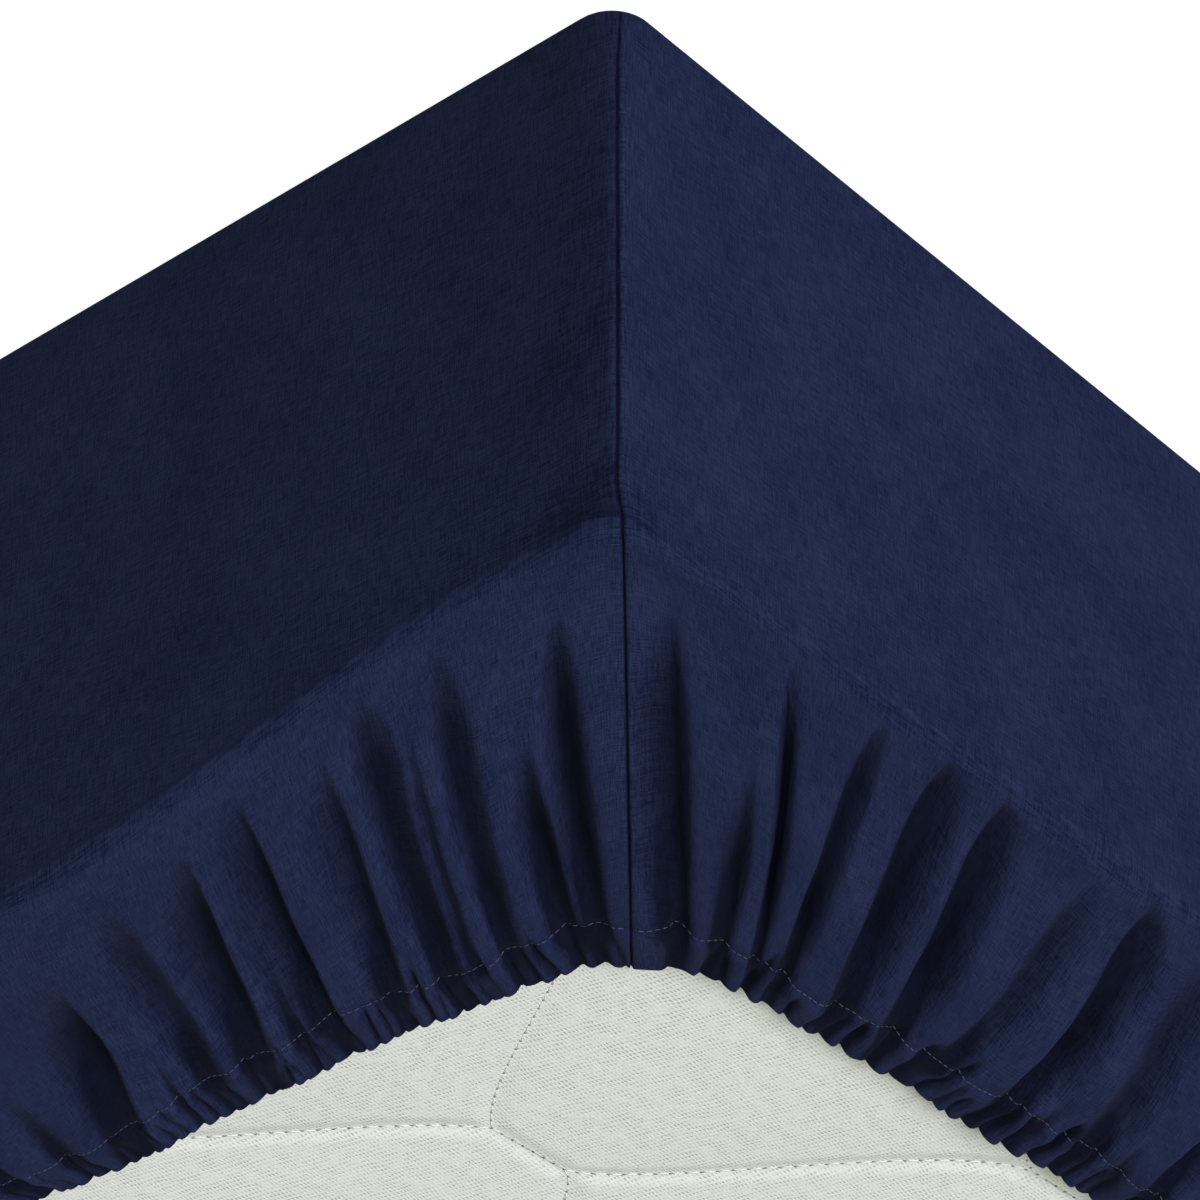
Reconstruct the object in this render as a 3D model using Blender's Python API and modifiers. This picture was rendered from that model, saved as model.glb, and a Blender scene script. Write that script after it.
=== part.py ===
"""Fitted sheet on a plain double mattress, lying with its sleeping face down.

Metres, +Z up.  The origin is the middle of the sleeping face, which lies flat on the surface.
X runs across the bed, Y along it.  The underside, with the gathered hem round the bare
mattress, faces up.

The sheet is one cloth.  Each column of it runs from the mattress's edge to the hem, and the
gathers are grooves that fan out from each corner seam.
"""

import math
from collections import namedtuple

import bmesh
import bpy

# ---------------------------------------------------------------- driving dimensions

WIDTH = 1.350                 # across the bed, over the sheet
LENGTH = 1.900                # along the bed, over the sheet
HEIGHT = 0.220                # sleeping face to underside, at the corners
CLOTH = 0.0015                # thickness of the sheet
CORNER_RADIUS = 0.016         # corners of the sheet, in plan, at its two faces
CREASE_RADIUS = 0.004         # and between them, where the seam draws the cloth to a crease
CREASE_SEAM = -0.0008         # how far the seam lies to the crease's long side
CREASE_HEIGHTS = (0.040, 0.178)   # between which it is drawn out in full
SLEEPING_EDGE_RADIUS = 0.003  # edge round the sleeping face
HEM_IN_LONG = 0.190           # the hem's distance from a long side's edge
HEM_IN_SHORT = 0.147          # the hem's distance from a short side's edge
HEM_RADIUS = 0.050            # corners of the hem's opening
HEM_WIDTH = 0.028             # turned hem that holds the elastic
# Where a corner seam crosses the edge and the hem, from the middles of their corners
SEAM_AT_EDGE = -0.0032
SEAM_AT_HEM = 0.0025

# Edge between side and underside: tight at a corner, a little rounder along the sides.
EDGE_RADIUS_CORNER = 0.005
EDGE_RADIUS_SIDE = 0.008
EDGE_RADIUS_FROM = 0.060      # distances from the corner between which the radius grows
EDGE_RADIUS_TO = 0.300
# A long side's edge swells up between its corners, which the tight seams hold down.
EDGE_SWELL = 0.031
EDGE_SWELL_FROM = 0.040       # distances from the corner between which it rises
EDGE_SWELL_TO = 0.260
EDGE_SWELL_END = 0.70         # share of the way to the hem at which that is gone

CROWN = 0.010                 # how far the gathered cloth stands above the underside's edge
CROWN_HEM = 0.005             # and at the hem's edge
CROWN_FROM = 0.08             # shares of the way from edge to hem between which it rises
CROWN_TO = 0.58
GROOVE_FLOOR = 0.2165         # no groove goes lower than this
GROOVE_GROWTH = 0.30          # share of the way over which a groove reaches its depth
GROOVE_TIP = 0.35             # width of a groove where it begins, as a share of its width
GROOVE_FLARE = 0.6            # how much wider a groove is near the edge than at the hem
DEPTH_FADE_FROM = 0.60        # share of the way at which its depth turns to that at the hem
COLUMN_BOW = 0.005            # sideways bow of a column halfway to the hem
COLUMN_BOW_FROM = 0.060       # distance from the seam at which the bow is full

SIDE_GAP = 0.0005             # mattress to cloth on the flat faces
MATTRESS_TOP = 0.2140         # bare underside of the mattress
MATTRESS_CORNER_RADIUS = 0.042
MATTRESS_UNDERSIDE_RADIUS = 0.038
MATTRESS_SLEEPING_RADIUS = 0.018
MATTRESS_CORNER_STEPS = 6
MATTRESS_EDGE_STEPS = 4

# ---------------------------------------------------------------- the gathers

# A groove of the gathered cloth, in millimetres from the corner seam.  The cloth drops into it
# from the seam's side and rises slowly again towards the next groove.
# edge       where it points to on the mattress's edge
# hem        where it meets the hem
# bow        how far it bends away from the seam halfway
# start      share of the way from edge to hem at which it begins
# fall       width of its steep flank towards the seam
# rise       width of its slow flank away from the seam
# depth      how deep it is halfway
# hem_depth  how deep it is at the hem
Groove = namedtuple("Groove", "edge hem bow start fall rise depth hem_depth")

LONG_SIDE = [
    Groove(27, 13, 0, 0.10, 6, 7, 10, 4),
    Groove(46, 22, 1, 0.34, 7, 8, 10, 4),
    Groove(78, 46, 0, 0.05, 10, 4, 8, 3),
    Groove(94, 59, 0, 0.14, 4, 7, 4, 2),
    Groove(113, 74, -2, 0.03, 12, 6, 9, 3),
    Groove(133, 97, -5, 0.12, 5, 16, 7, 3),
    Groove(167, 125, -1, 0.08, 4, 19, 8, 3),
    Groove(184, 144, -3, 0.16, 8, 8, 4, 2),
    Groove(192, 162, 0, 0.14, 6, 18, 9, 3),
    Groove(232, 184, 2, 0.14, 10, 13, 6, 2),
    Groove(246, 204, 0, 0.66, 4, 6, 5, 3),
    Groove(262, 231, 0, 0.32, 7, 24, 10, 3),
    Groove(345, 258, 0, 0.55, 9, 12, 4, 2),
    Groove(405, 283, 0, 0.42, 6, 16, 9, 3),
]

SHORT_SIDE = [
    Groove(20, 14, -1, 0.10, 9, 5, 9, 4),
    Groove(65, 26, -2, 0.34, 8, 5, 8, 3),
    Groove(82, 41, 0, 0.06, 4, 4, 10, 4),
    Groove(134, 55, -9, 0.02, 4, 7, 10, 4),
    Groove(170, 82, -7, 0.00, 6, 15, 12, 3),
    Groove(202, 108, -4, 0.00, 6, 14, 12, 3),
    Groove(256, 127, 4, 0.04, 7, 12, 7, 2),
    Groove(288, 165, 7, 0.00, 7, 14, 12, 3),
    Groove(304, 195, 0, 0.62, 5, 6, 5, 2),
    Groove(325, 221, 2, 0.04, 10, 12, 7, 3),
    Groove(342, 243, 0, 0.62, 5, 6, 5, 2),
    Groove(394, 258, -1, 0.30, 6, 14, 9, 3),
]

# Past the tables the gathers go on evenly to the middle of each side.
PLAIN_PITCH = 0.047           # along the mattress's edge
PLAIN_GROOVE = Groove(0, 0, 0, 0.24, 9, 20, 8, 3)
PLAIN_WANDER = 0.16           # unevenness of pitch, depth and start, as shares
CORNER_WANDER = 0.0015        # how far the other three corners' grooves move
CORNER_WANDER_DEPTH = 0.22    # and how much their depths change, as a share

# Rows of the gathered part, as shares of the way from edge to hem
HEM_START = 1 - HEM_WIDTH / HEM_IN_LONG
GATHER_ROWS = (0.30, 0.52, 0.70, HEM_START, 1.0)
# Points along the edges of the plain sides, in shares of half a side from the corner's round
PLAIN_COLUMNS = (0.06, 0.14, 0.24, 0.34, 0.46, 0.70)
CORNER_COLUMNS = 6

CORNERS = ((1, -1), (1, 1), (-1, 1), (-1, -1))

NAVY = (0.020, 0.026, 0.074, 1.0)
TICKING = (0.62, 0.66, 0.63, 1.0)


def smoothstep(value):
    value = min(1.0, max(0.0, value))
    return value * value * (3 - 2 * value)


# ---------------------------------------------------------------- plan of one corner

def corner_point(distance, inset_long, inset_short, radius):
    """Point on a rounded corner's outline, in plan.

    distance runs from the corner's middle, positive along the long side.  The result is
    (along, across): how far the point is from the short side's edge and the long side's.
    """
    half_round = radius * math.pi / 4
    run = abs(distance)
    if run < half_round:
        angle = math.pi / 4 - run / radius
        near = radius * (1 - math.sin(angle))
        far = radius * (1 - math.cos(angle))
        if distance >= 0:
            return inset_short + near, inset_long + far
        return inset_short + far, inset_long + near
    straight = radius + run - half_round
    if distance >= 0:
        return inset_short + straight, inset_long
    return inset_short, inset_long + straight


def half_length(side, inset_along, radius):
    """Outline length from a corner's middle to the middle of a side."""
    return side / 2 - inset_along - radius + radius * math.pi / 4


EDGE_HALF_LONG = half_length(LENGTH, 0, CORNER_RADIUS)
EDGE_HALF_SHORT = half_length(WIDTH, 0, CORNER_RADIUS)
HEM_HALF_LONG = half_length(LENGTH, HEM_IN_SHORT, HEM_RADIUS)
HEM_HALF_SHORT = half_length(WIDTH, HEM_IN_LONG, HEM_RADIUS)


def column_point(edge, hem, share):
    """Plan point of a column of cloth, a share of the way from mattress edge to hem."""
    edge_along, edge_across = corner_point(edge, 0, 0, CORNER_RADIUS)
    hem_along, hem_across = corner_point(hem, HEM_IN_LONG, HEM_IN_SHORT, HEM_RADIUS)
    run_along = hem_along - edge_along
    run_across = hem_across - edge_across
    run = math.hypot(run_along, run_across)
    bow = COLUMN_BOW * max(-1.0, min(1.0, edge / COLUMN_BOW_FROM)) * math.sin(math.pi * share)
    along = edge_along + run_along * share + bow * run_across / run
    across = edge_across + run_across * share - bow * run_along / run
    return along, across


def edge_radius(edge):
    grown = smoothstep((abs(edge) - EDGE_RADIUS_FROM) / (EDGE_RADIUS_TO - EDGE_RADIUS_FROM))
    return EDGE_RADIUS_CORNER + (EDGE_RADIUS_SIDE - EDGE_RADIUS_CORNER) * grown


def edge_height(edge):
    """Height of the sheet's edge, where its side turns to the underside."""
    grown = smoothstep((edge - EDGE_SWELL_FROM) / (EDGE_SWELL_TO - EDGE_SWELL_FROM))
    return HEIGHT + EDGE_SWELL * grown


def creased_point(edge):
    """Outline point of the upright cloth where its corner is drawn out to a crease."""
    half_round = CORNER_RADIUS * math.pi / 4
    half_crease = CORNER_RADIUS - CREASE_RADIUS + CREASE_RADIUS * math.pi / 4
    if abs(edge) < half_round:
        end = math.copysign(half_crease, edge)
        moved = CREASE_SEAM + (end - CREASE_SEAM) * abs(edge) / half_round
    else:
        moved = edge + math.copysign(half_crease - half_round, edge)
    return corner_point(moved, 0, 0, CREASE_RADIUS)


def inset_at(along, across):
    """Distance inside the sheet's outline."""
    if along < CORNER_RADIUS and across < CORNER_RADIUS:
        return CORNER_RADIUS - math.hypot(CORNER_RADIUS - along, CORNER_RADIUS - across)
    return min(along, across)


# ---------------------------------------------------------------- grooves of one corner

def side_grooves(table, sign, corner, edge_half, hem_half):
    """Grooves from a corner seam to the middle of a side, in metres, sign for the side."""
    grooves = []
    for number, row in enumerate(table):
        swing = math.sin(1.7 * number + 2.1 * corner + sign) if corner else 0.0
        grooves.append(Groove(row.edge / 1000 + CORNER_WANDER * swing,
                              row.hem / 1000 + CORNER_WANDER * swing,
                              row.bow / 1000,
                              row.start,
                              row.fall / 1000,
                              row.rise / 1000,
                              row.depth / 1000 * (1 - CORNER_WANDER_DEPTH * swing * swing),
                              row.hem_depth / 1000))
    last = grooves[-1]
    count = round((edge_half - last.edge) / PLAIN_PITCH)
    for number in range(1, count):
        swing = PLAIN_WANDER * math.sin(2.3 * number + 1.3 * corner + 0.7 * sign)
        share = (number + swing) / count
        grooves.append(Groove(last.edge + share * (edge_half - last.edge),
                              last.hem + share * (hem_half - last.hem),
                              PLAIN_GROOVE.bow / 1000,
                              PLAIN_GROOVE.start * (1 + 2 * swing),
                              PLAIN_GROOVE.fall / 1000,
                              PLAIN_GROOVE.rise / 1000,
                              PLAIN_GROOVE.depth / 1000 * (1 + swing),
                              PLAIN_GROOVE.hem_depth / 1000 * (1 + swing)))
    return [groove._replace(edge=sign * groove.edge, hem=sign * groove.hem)
            for groove in grooves]


def corner_grooves(corner):
    """All grooves of one corner, from the middle of the short side to that of the long."""
    short = side_grooves(SHORT_SIDE, -1, corner, EDGE_HALF_SHORT, HEM_HALF_SHORT)
    long = side_grooves(LONG_SIDE, 1, corner, EDGE_HALF_LONG, HEM_HALF_LONG)
    return short[::-1] + long


def scooped(reach, falling):
    """Cross-section of a groove, 1 at its bottom and 0 from a reach of 1 on."""
    if falling:
        return (1 - reach) ** 2 * (1 + 2 * reach)
    return 1 - 1.35 * reach ** 1.6 + 0.35 * reach ** 5


def carved(edge, hem, share, grooves):
    """Depth of the deepest groove at a point of the cloth."""
    depth = 0.0
    flare = 1 + GROOVE_FLARE * (1 - share)
    near_hem = smoothstep((share - DEPTH_FADE_FROM) / (HEM_START - DEPTH_FADE_FROM))
    for groove in grooves:
        sign = math.copysign(1, groove.edge)
        place = groove.edge * (1 - share) + groove.hem * share
        place += sign * groove.bow * math.sin(math.pi * share)
        away = (edge * (1 - share) + hem * share - place) * sign
        flank = groove.rise if away > 0 else groove.fall
        begun = min(1.0, max(0.0, (share - groove.start) / GROOVE_GROWTH))
        grown = (smoothstep(begun) + begun * (2 - begun)) / 2
        reach = abs(away) / (flank * flare * (GROOVE_TIP + (1 - GROOVE_TIP) * grown))
        if reach < 1:
            most = groove.depth + (groove.hem_depth - groove.depth) * near_hem
            depth = max(depth, most * grown * scooped(reach, away < 0))
    return depth


def cloth_height(edge, hem, share, grooves):
    """Height of the sheet's outer face on the underside and round its edge."""
    along, across = column_point(edge, hem, share)
    radius = edge_radius(edge)
    inset = inset_at(along, across)
    level = edge_height(edge)
    level -= (level - HEIGHT) * smoothstep(share / EDGE_SWELL_END)
    if inset < radius:
        level -= radius - math.sqrt(max(0.0, radius ** 2 - (radius - inset) ** 2))
    crown = CROWN * smoothstep((share - CROWN_FROM) / (CROWN_TO - CROWN_FROM))
    crown -= (CROWN - CROWN_HEM) * smoothstep((share - HEM_START) / (1 - HEM_START))
    raised = level + crown
    return max(raised - carved(edge, hem, share, grooves), min(GROOVE_FLOOR, level))


# ---------------------------------------------------------------- columns of one corner

def gather_columns(grooves, detailed):
    """(edge, hem) of each column: the bottom and the crest of every groove, and the seam."""
    stops = ([(-EDGE_HALF_SHORT, -HEM_HALF_SHORT)]
             + [(groove.edge, groove.hem) for groove in grooves if groove.edge < 0]
             + [(SEAM_AT_EDGE, SEAM_AT_HEM)]
             + [(groove.edge, groove.hem) for groove in grooves if groove.edge > 0]
             + [(EDGE_HALF_LONG, HEM_HALF_LONG)])
    if detailed:
        shares_to_long = (0.0, 0.45, 0.84)
    else:
        shares_to_long = (0.0, 0.82)
    columns = []
    for (edge, hem), (next_edge, next_hem) in zip(stops, stops[1:]):
        shares = shares_to_long
        if next_edge <= 0:
            shares = (0.0,) + tuple(1 - share for share in shares_to_long[:0:-1])
        for share in shares:
            columns.append((edge + share * (next_edge - edge), hem + share * (next_hem - hem)))
    columns.append(stops[-1])
    return columns


def hem_of(edge, columns):
    """Hem position of the column that starts at a place on the mattress's edge."""
    for (first, first_hem), (second, second_hem) in zip(columns, columns[1:]):
        if first <= edge <= second:
            return first_hem + (edge - first) / (second - first) * (second_hem - first_hem)
    return columns[-1][1]


def plain_columns(columns):
    """(edge, hem) of the few columns that the flat sides need."""
    round_end = CORNER_RADIUS * math.pi / 4
    edges = [-EDGE_HALF_SHORT]
    edges += [-round_end - share * EDGE_HALF_SHORT for share in reversed(PLAIN_COLUMNS)]
    edges += [round_end * (2 * step / CORNER_COLUMNS - 1) for step in range(CORNER_COLUMNS + 1)]
    edges += [round_end + share * EDGE_HALF_LONG for share in PLAIN_COLUMNS]
    edges.append(EDGE_HALF_LONG)
    return [(edge, hem_of(edge, columns)) for edge in edges]


# ---------------------------------------------------------------- the sheet

def to_world(corner, along, across, height):
    side_x, side_y = CORNERS[corner]
    return (side_x * (WIDTH / 2 - across), side_y * (LENGTH / 2 - along), height)


def ring(lists_by_corner, place):
    """Points once round the bed, anticlockwise, from the middle of one short side.

    place(corner, edge, hem) gives a world point.  Every second corner runs backwards, and
    the point that two corners share is kept once.
    """
    points = []
    for corner, columns in enumerate(lists_by_corner):
        ordered = columns if corner % 2 == 0 else columns[::-1]
        for edge, hem in ordered[:-1]:
            points.append(place(corner, edge, hem))
    return points


def edge_rows():
    """Rows of the plain part: on the sleeping face's edge, up the side, into the round."""
    low = SLEEPING_EDGE_RADIUS
    slant = math.sin(math.pi / 4)

    def at(inset, height):
        def place(corner, edge, hem):
            along, across = corner_point(edge, inset, inset, CORNER_RADIUS - inset)
            return to_world(corner, along, across, height)
        return place

    def creased(height):
        def place(corner, edge, hem):
            along, across = creased_point(edge)
            return to_world(corner, along, across, height)
        return place

    def upper(corner, edge, hem):
        along, across = corner_point(edge, 0, 0, CORNER_RADIUS)
        return to_world(corner, along, across, edge_height(edge) - edge_radius(edge))

    return [at(low, 0.0), at(low * (1 - slant), low * (1 - slant)), at(0.0, low),
            creased(CREASE_HEIGHTS[0]), creased(CREASE_HEIGHTS[1]), upper]


def round_place(grooves_by_corner, turn):
    """Row in the edge's round, where its face has turned by an angle from upright."""
    def place(corner, edge, hem):
        inset = edge_radius(edge) * (1 - math.cos(turn))
        start = corner_point(edge, 0, 0, CORNER_RADIUS)
        end = corner_point(hem, HEM_IN_LONG, HEM_IN_SHORT, HEM_RADIUS)
        if abs(edge) < CORNER_RADIUS * math.pi / 4:
            run = math.dist(start, end)
        else:
            run = HEM_IN_LONG if edge > 0 else HEM_IN_SHORT
        share = inset / run
        along, across = column_point(edge, hem, share)
        height = cloth_height(edge, hem, share, grooves_by_corner[corner])
        return to_world(corner, along, across, height)
    return place


def gather_place(grooves_by_corner, share):
    def place(corner, edge, hem):
        along, across = column_point(edge, hem, share)
        height = cloth_height(edge, hem, share, grooves_by_corner[corner])
        return to_world(corner, along, across, height)
    return place


def add_row(mesh, points):
    return [mesh.verts.new(point) for point in points]


def join_equal(mesh, lower, upper):
    count = len(lower)
    for index in range(count):
        following = (index + 1) % count
        mesh.faces.new((lower[index], lower[following], upper[following], upper[index]))


def join_unlike(mesh, lower, lower_at, upper, upper_at):
    """Triangles between two rings of different counts, in step with their distances."""
    low = 0
    high = 0
    while low < len(lower) or high < len(upper):
        next_low = lower_at[low + 1] if low < len(lower) else math.inf
        next_high = upper_at[high + 1] if high < len(upper) else math.inf
        low_vert = lower[low % len(lower)]
        high_vert = upper[high % len(upper)]
        if next_high <= next_low:
            mesh.faces.new((low_vert, upper[(high + 1) % len(upper)], high_vert))
            high += 1
        else:
            mesh.faces.new((low_vert, lower[(low + 1) % len(lower)], high_vert))
            low += 1


def ring_distances(lists_by_corner):
    """How far round the bed each point of a ring is, with one more for the full turn."""
    corner_run = EDGE_HALF_SHORT + EDGE_HALF_LONG
    distances = []
    for corner, columns in enumerate(lists_by_corner):
        if corner % 2 == 0:
            distances += [corner * corner_run + EDGE_HALF_SHORT + edge
                          for edge, hem in columns[:-1]]
        else:
            distances += [corner * corner_run + EDGE_HALF_LONG - edge
                          for edge, hem in columns[:0:-1]]
    return distances + [len(CORNERS) * corner_run]


def sheet_mesh():
    """The outer face of the sheet, from the sleeping face round to the hem's edge."""
    corners = range(len(CORNERS))
    grooves = [corner_grooves(corner) for corner in corners]
    gathered = [gather_columns(grooves[corner], corner == 0) for corner in corners]
    plain = [plain_columns(gathered[corner]) for corner in corners]

    mesh = bmesh.new()
    rows = [add_row(mesh, ring(plain, place)) for place in edge_rows()]
    rows.append(add_row(mesh, ring(plain, round_place(grooves, math.radians(32)))))
    mesh.faces.new(rows[0][::-1])
    for lower, upper in zip(rows, rows[1:]):
        join_equal(mesh, lower, upper)

    fine_rows = [add_row(mesh, ring(gathered, round_place(grooves, math.radians(62))))]
    fine_rows += [add_row(mesh, ring(gathered, gather_place(grooves, share)))
                  for share in GATHER_ROWS]
    join_unlike(mesh, rows[-1], ring_distances(plain), fine_rows[0], ring_distances(gathered))
    for lower, upper in zip(fine_rows, fine_rows[1:]):
        join_equal(mesh, lower, upper)
    return mesh


# ---------------------------------------------------------------- objects

def make_material(name, colour, roughness):
    material = bpy.data.materials.new(name)
    material.use_nodes = True
    shader = material.node_tree.nodes["Principled BSDF"]
    shader.inputs["Base Color"].default_value = colour
    shader.inputs["Roughness"].default_value = roughness
    shader.inputs["Metallic"].default_value = 0.0
    return material


def add_object(name, mesh, material, collection):
    data = bpy.data.meshes.new(name)
    mesh.to_mesh(data)
    mesh.free()
    data.materials.append(material)
    data.shade_smooth()
    piece = bpy.data.objects.new(name, data)
    collection.objects.link(piece)
    return piece


def add_sheet(collection):
    sheet = add_object("fitted_sheet", sheet_mesh(),
                       make_material("navy_cotton", NAVY, 0.85), collection)
    shell = sheet.modifiers.new("cloth", "SOLIDIFY")
    shell.thickness = CLOTH
    shell.offset = -1.0
    return sheet


def upright(edge):
    return abs(edge.verts[0].co.z - edge.verts[1].co.z) > HEIGHT / 2


def at_height(edge, height):
    return all(abs(vert.co.z - height) < SIDE_GAP / 2 for vert in edge.verts)


def add_mattress(collection):
    """A block with round corners, rounder on its underside than on its sleeping face."""
    skin = CLOTH + SIDE_GAP
    size = (WIDTH - 2 * skin, LENGTH - 2 * skin, MATTRESS_TOP - skin)
    mesh = bmesh.new()
    bmesh.ops.create_cube(mesh, size=1.0)
    bmesh.ops.scale(mesh, verts=mesh.verts, vec=size)
    bmesh.ops.translate(mesh, verts=mesh.verts, vec=(0, 0, skin + size[2] / 2))
    bmesh.ops.bevel(mesh, geom=[edge for edge in mesh.edges if upright(edge)],
                    offset=MATTRESS_CORNER_RADIUS, offset_type="OFFSET",
                    segments=MATTRESS_CORNER_STEPS, profile=0.5, affect="EDGES")
    for height, radius in ((MATTRESS_TOP, MATTRESS_UNDERSIDE_RADIUS),
                           (skin, MATTRESS_SLEEPING_RADIUS)):
        bmesh.ops.bevel(mesh, geom=[edge for edge in mesh.edges if at_height(edge, height)],
                        offset=radius, offset_type="OFFSET",
                        segments=MATTRESS_EDGE_STEPS, profile=0.5, affect="EDGES")
    return add_object("mattress", mesh, make_material("ticking", TICKING, 0.9), collection)


def main():
    for thing in list(bpy.data.objects):
        bpy.data.objects.remove(thing, do_unlink=True)
    collection = bpy.data.collections.new("fitted_sheet_on_mattress")
    bpy.context.scene.collection.children.link(collection)
    add_mattress(collection)
    add_sheet(collection)


main()
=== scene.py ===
"""Fitted sheet on a plain double mattress, underside up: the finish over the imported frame.

Metres, +Z up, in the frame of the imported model.  The cloth follows the solid's own surface,
worked out here from the same sizes and tables of gathers, with the finer folds added.
"""
import math
from collections import namedtuple

import bpy
import numpy as np
from mathutils import Matrix, Vector


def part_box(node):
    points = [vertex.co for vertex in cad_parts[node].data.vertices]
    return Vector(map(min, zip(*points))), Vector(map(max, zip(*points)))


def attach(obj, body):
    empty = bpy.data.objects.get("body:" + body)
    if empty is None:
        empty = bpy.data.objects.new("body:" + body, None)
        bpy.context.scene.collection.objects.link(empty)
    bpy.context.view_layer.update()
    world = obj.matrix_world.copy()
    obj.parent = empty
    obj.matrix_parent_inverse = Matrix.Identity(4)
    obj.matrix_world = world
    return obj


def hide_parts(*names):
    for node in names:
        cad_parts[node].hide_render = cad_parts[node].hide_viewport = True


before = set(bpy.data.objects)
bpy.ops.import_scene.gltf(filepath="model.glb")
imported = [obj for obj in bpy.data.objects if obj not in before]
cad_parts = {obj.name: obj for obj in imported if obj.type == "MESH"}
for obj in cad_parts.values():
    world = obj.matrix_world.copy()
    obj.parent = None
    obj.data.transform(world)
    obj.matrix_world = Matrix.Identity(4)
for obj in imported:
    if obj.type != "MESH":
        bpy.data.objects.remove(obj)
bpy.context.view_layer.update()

# ---------------------------------------------------------------- sizes from the frame

SHEET_LOW, SHEET_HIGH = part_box("fitted_sheet")
MATTRESS_LOW, MATTRESS_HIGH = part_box("mattress")
WIDTH = SHEET_HIGH.x - SHEET_LOW.x
LENGTH = SHEET_HIGH.y - SHEET_LOW.y
MATTRESS_TOP = MATTRESS_HIGH.z

# ---------------------------------------------------------------- sizes of the sheet

HEIGHT = 0.220                # sleeping face to underside, at the corners
CORNER_RADIUS = 0.016         # upright corners, in plan, at the sleeping face and underside
CREASE_RADIUS = 0.004         # and between them, where the seam draws the cloth to a crease
CREASE_START = (0.004, 0.040)  # heights over which the corner turns into the crease
CREASE_END = (0.203, 0.2155)  # and back
CREASE_SEAM = 0.0006          # how far the seam lies to the crease's long side
SLEEPING_EDGE_RADIUS = 0.0014
SLEEPING_FACE_INSET = 0.08    # the flat face under the sheet, in from its outline
HEM_IN_LONG = 0.190           # the hem's distance from a long side's edge
HEM_IN_SHORT = 0.147          # the hem's distance from a short side's edge
HEM_RADIUS = 0.050
SEAM_AT_EDGE = -0.0018        # where a corner seam crosses the edge and the hem
SEAM_AT_HEM = 0.0042

EDGE_RADIUS_CORNER = 0.005    # round of the edge at a corner and on the sides
EDGE_RADIUS_SIDE = 0.008
EDGE_RADIUS_SPAN = (0.060, 0.300)   # distances from the corner between which it changes
EDGE_SWELL = 0.031            # how much a long side's edge stands above the corner
EDGE_SWELL_SPAN = (0.040, 0.260)
EDGE_SWELL_END = 0.70         # share of the way to the hem at which that is gone

CROWN = 0.010                 # how much the cloth bulges between its edge and the hem
CROWN_HEM = 0.005             # and at the hem
CROWN_SPAN = (0.08, 0.58)     # shares of the way to the hem between which the bulge grows
CLOTH_GAP = 0.0018            # least distance between the mattress and the cloth's face
GROOVE_GROWTH = 0.30          # share of the way to the hem in which a groove gets its depth
GROOVE_TIP = 0.35             # width of a groove where it begins, as a share
GROOVE_FLARE = 0.6            # how much wider grooves are at the edge than at the hem
DEPTH_FADE = (0.60, 0.83)     # shares between which the hem draws the grooves flatter
UNEVEN_FROM = 0.15            # slow unevenness of the gathered cloth: where it begins,
UNEVEN_GROWTH = 0.30          # the share in which it grows, and its waves
UNEVEN_WAVES = ((71.0, 3.1, 0.0, 0.0005), (163.0, -5.3, 1.0, 0.00035),
                (291.0, 8.7, 2.0, 0.00025))
# Painted shade: the sheet's colour is darkened in its grooves, ruffles, edge round, seam and
# corner, where shade falls
PAINTED_SHADE_DEPTH = 0.010          # groove depths at which the cloth gets its full painted shade
# ruffle depth at which the cloth gets its full painted shade
PAINTED_SHADE_RUFFLE = 0.0024
PAINTED_SHADE_HEM = 1.80             # how much more painted shade the grooves get near the hem
PAINTED_SHADE_NARROW = 1.2           # and how much narrower their painted dark bottoms get there
PAINTED_SHADE_BAND = 0.62            # how much less painted shade they get in the hem band,
PAINTED_SHADE_BAND_BY = 0.5          # and by which share of its width
PAINTED_SHADE_REACH = 0.78           # share of the painted dark at which a groove's steep flank ends
PAINTED_SHADE_EDGE = 0.36            # how much painted shade the cloth gets where it is stretched round the edge
PAINTED_SHADE_EDGE_FROM = 0.090      # distance from a corner seam at which that is full
COLUMN_BOW = 0.005            # sideways bow of a column of cloth halfway to the hem
COLUMN_BOW_FROM = 0.060       # distance from the corner at which the bow is full
COLUMN_BOW_TO = 0.20          # distance from the side's middle over which the bow goes

SIDE_GAP = 0.002              # sheet's outline to the mattress's
MATTRESS_ROUND = 0.042        # upright corners of the mattress, in plan
MATTRESS_UNDERSIDE_RADIUS = 0.038
MATTRESS_SLEEPING_RADIUS = 0.018

# The stitch line and the hem's edge, by place on the hem (metres from the corner), as shares
# of the way from the mattress's edge to the solid's hem
HEM_LINES = (
    (-0.450, 0.800, 0.955), (-0.270, 0.800, 0.955), (-0.235, 0.780, 0.950),
    (-0.210, 0.795, 0.950), (-0.190, 0.784, 0.962), (-0.165, 0.793, 0.972),
    (-0.140, 0.802, 0.960), (-0.118, 0.815, 0.966), (-0.098, 0.808, 0.975),
    (-0.070, 0.850, 0.985), (-0.030, 0.855, 0.994), (0.000, 0.864, 0.995),
    (0.030, 0.855, 0.995), (0.060, 0.853, 0.982), (0.095, 0.832, 0.970),
    (0.120, 0.812, 0.966), (0.150, 0.828, 0.968), (0.185, 0.826, 0.972),
    (0.210, 0.846, 0.978), (0.240, 0.866, 0.988), (0.270, 0.866, 0.978),
    (0.400, 0.850, 0.972))
HEM_THICKNESS = 0.0019
HEM_CLEAR = 0.0004            # least distance between the mattress and the turned hem
STITCH_DIP = 0.0011           # how far the stitches draw the cloth in
STITCH_DIP_WIDTH = 0.0028

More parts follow.
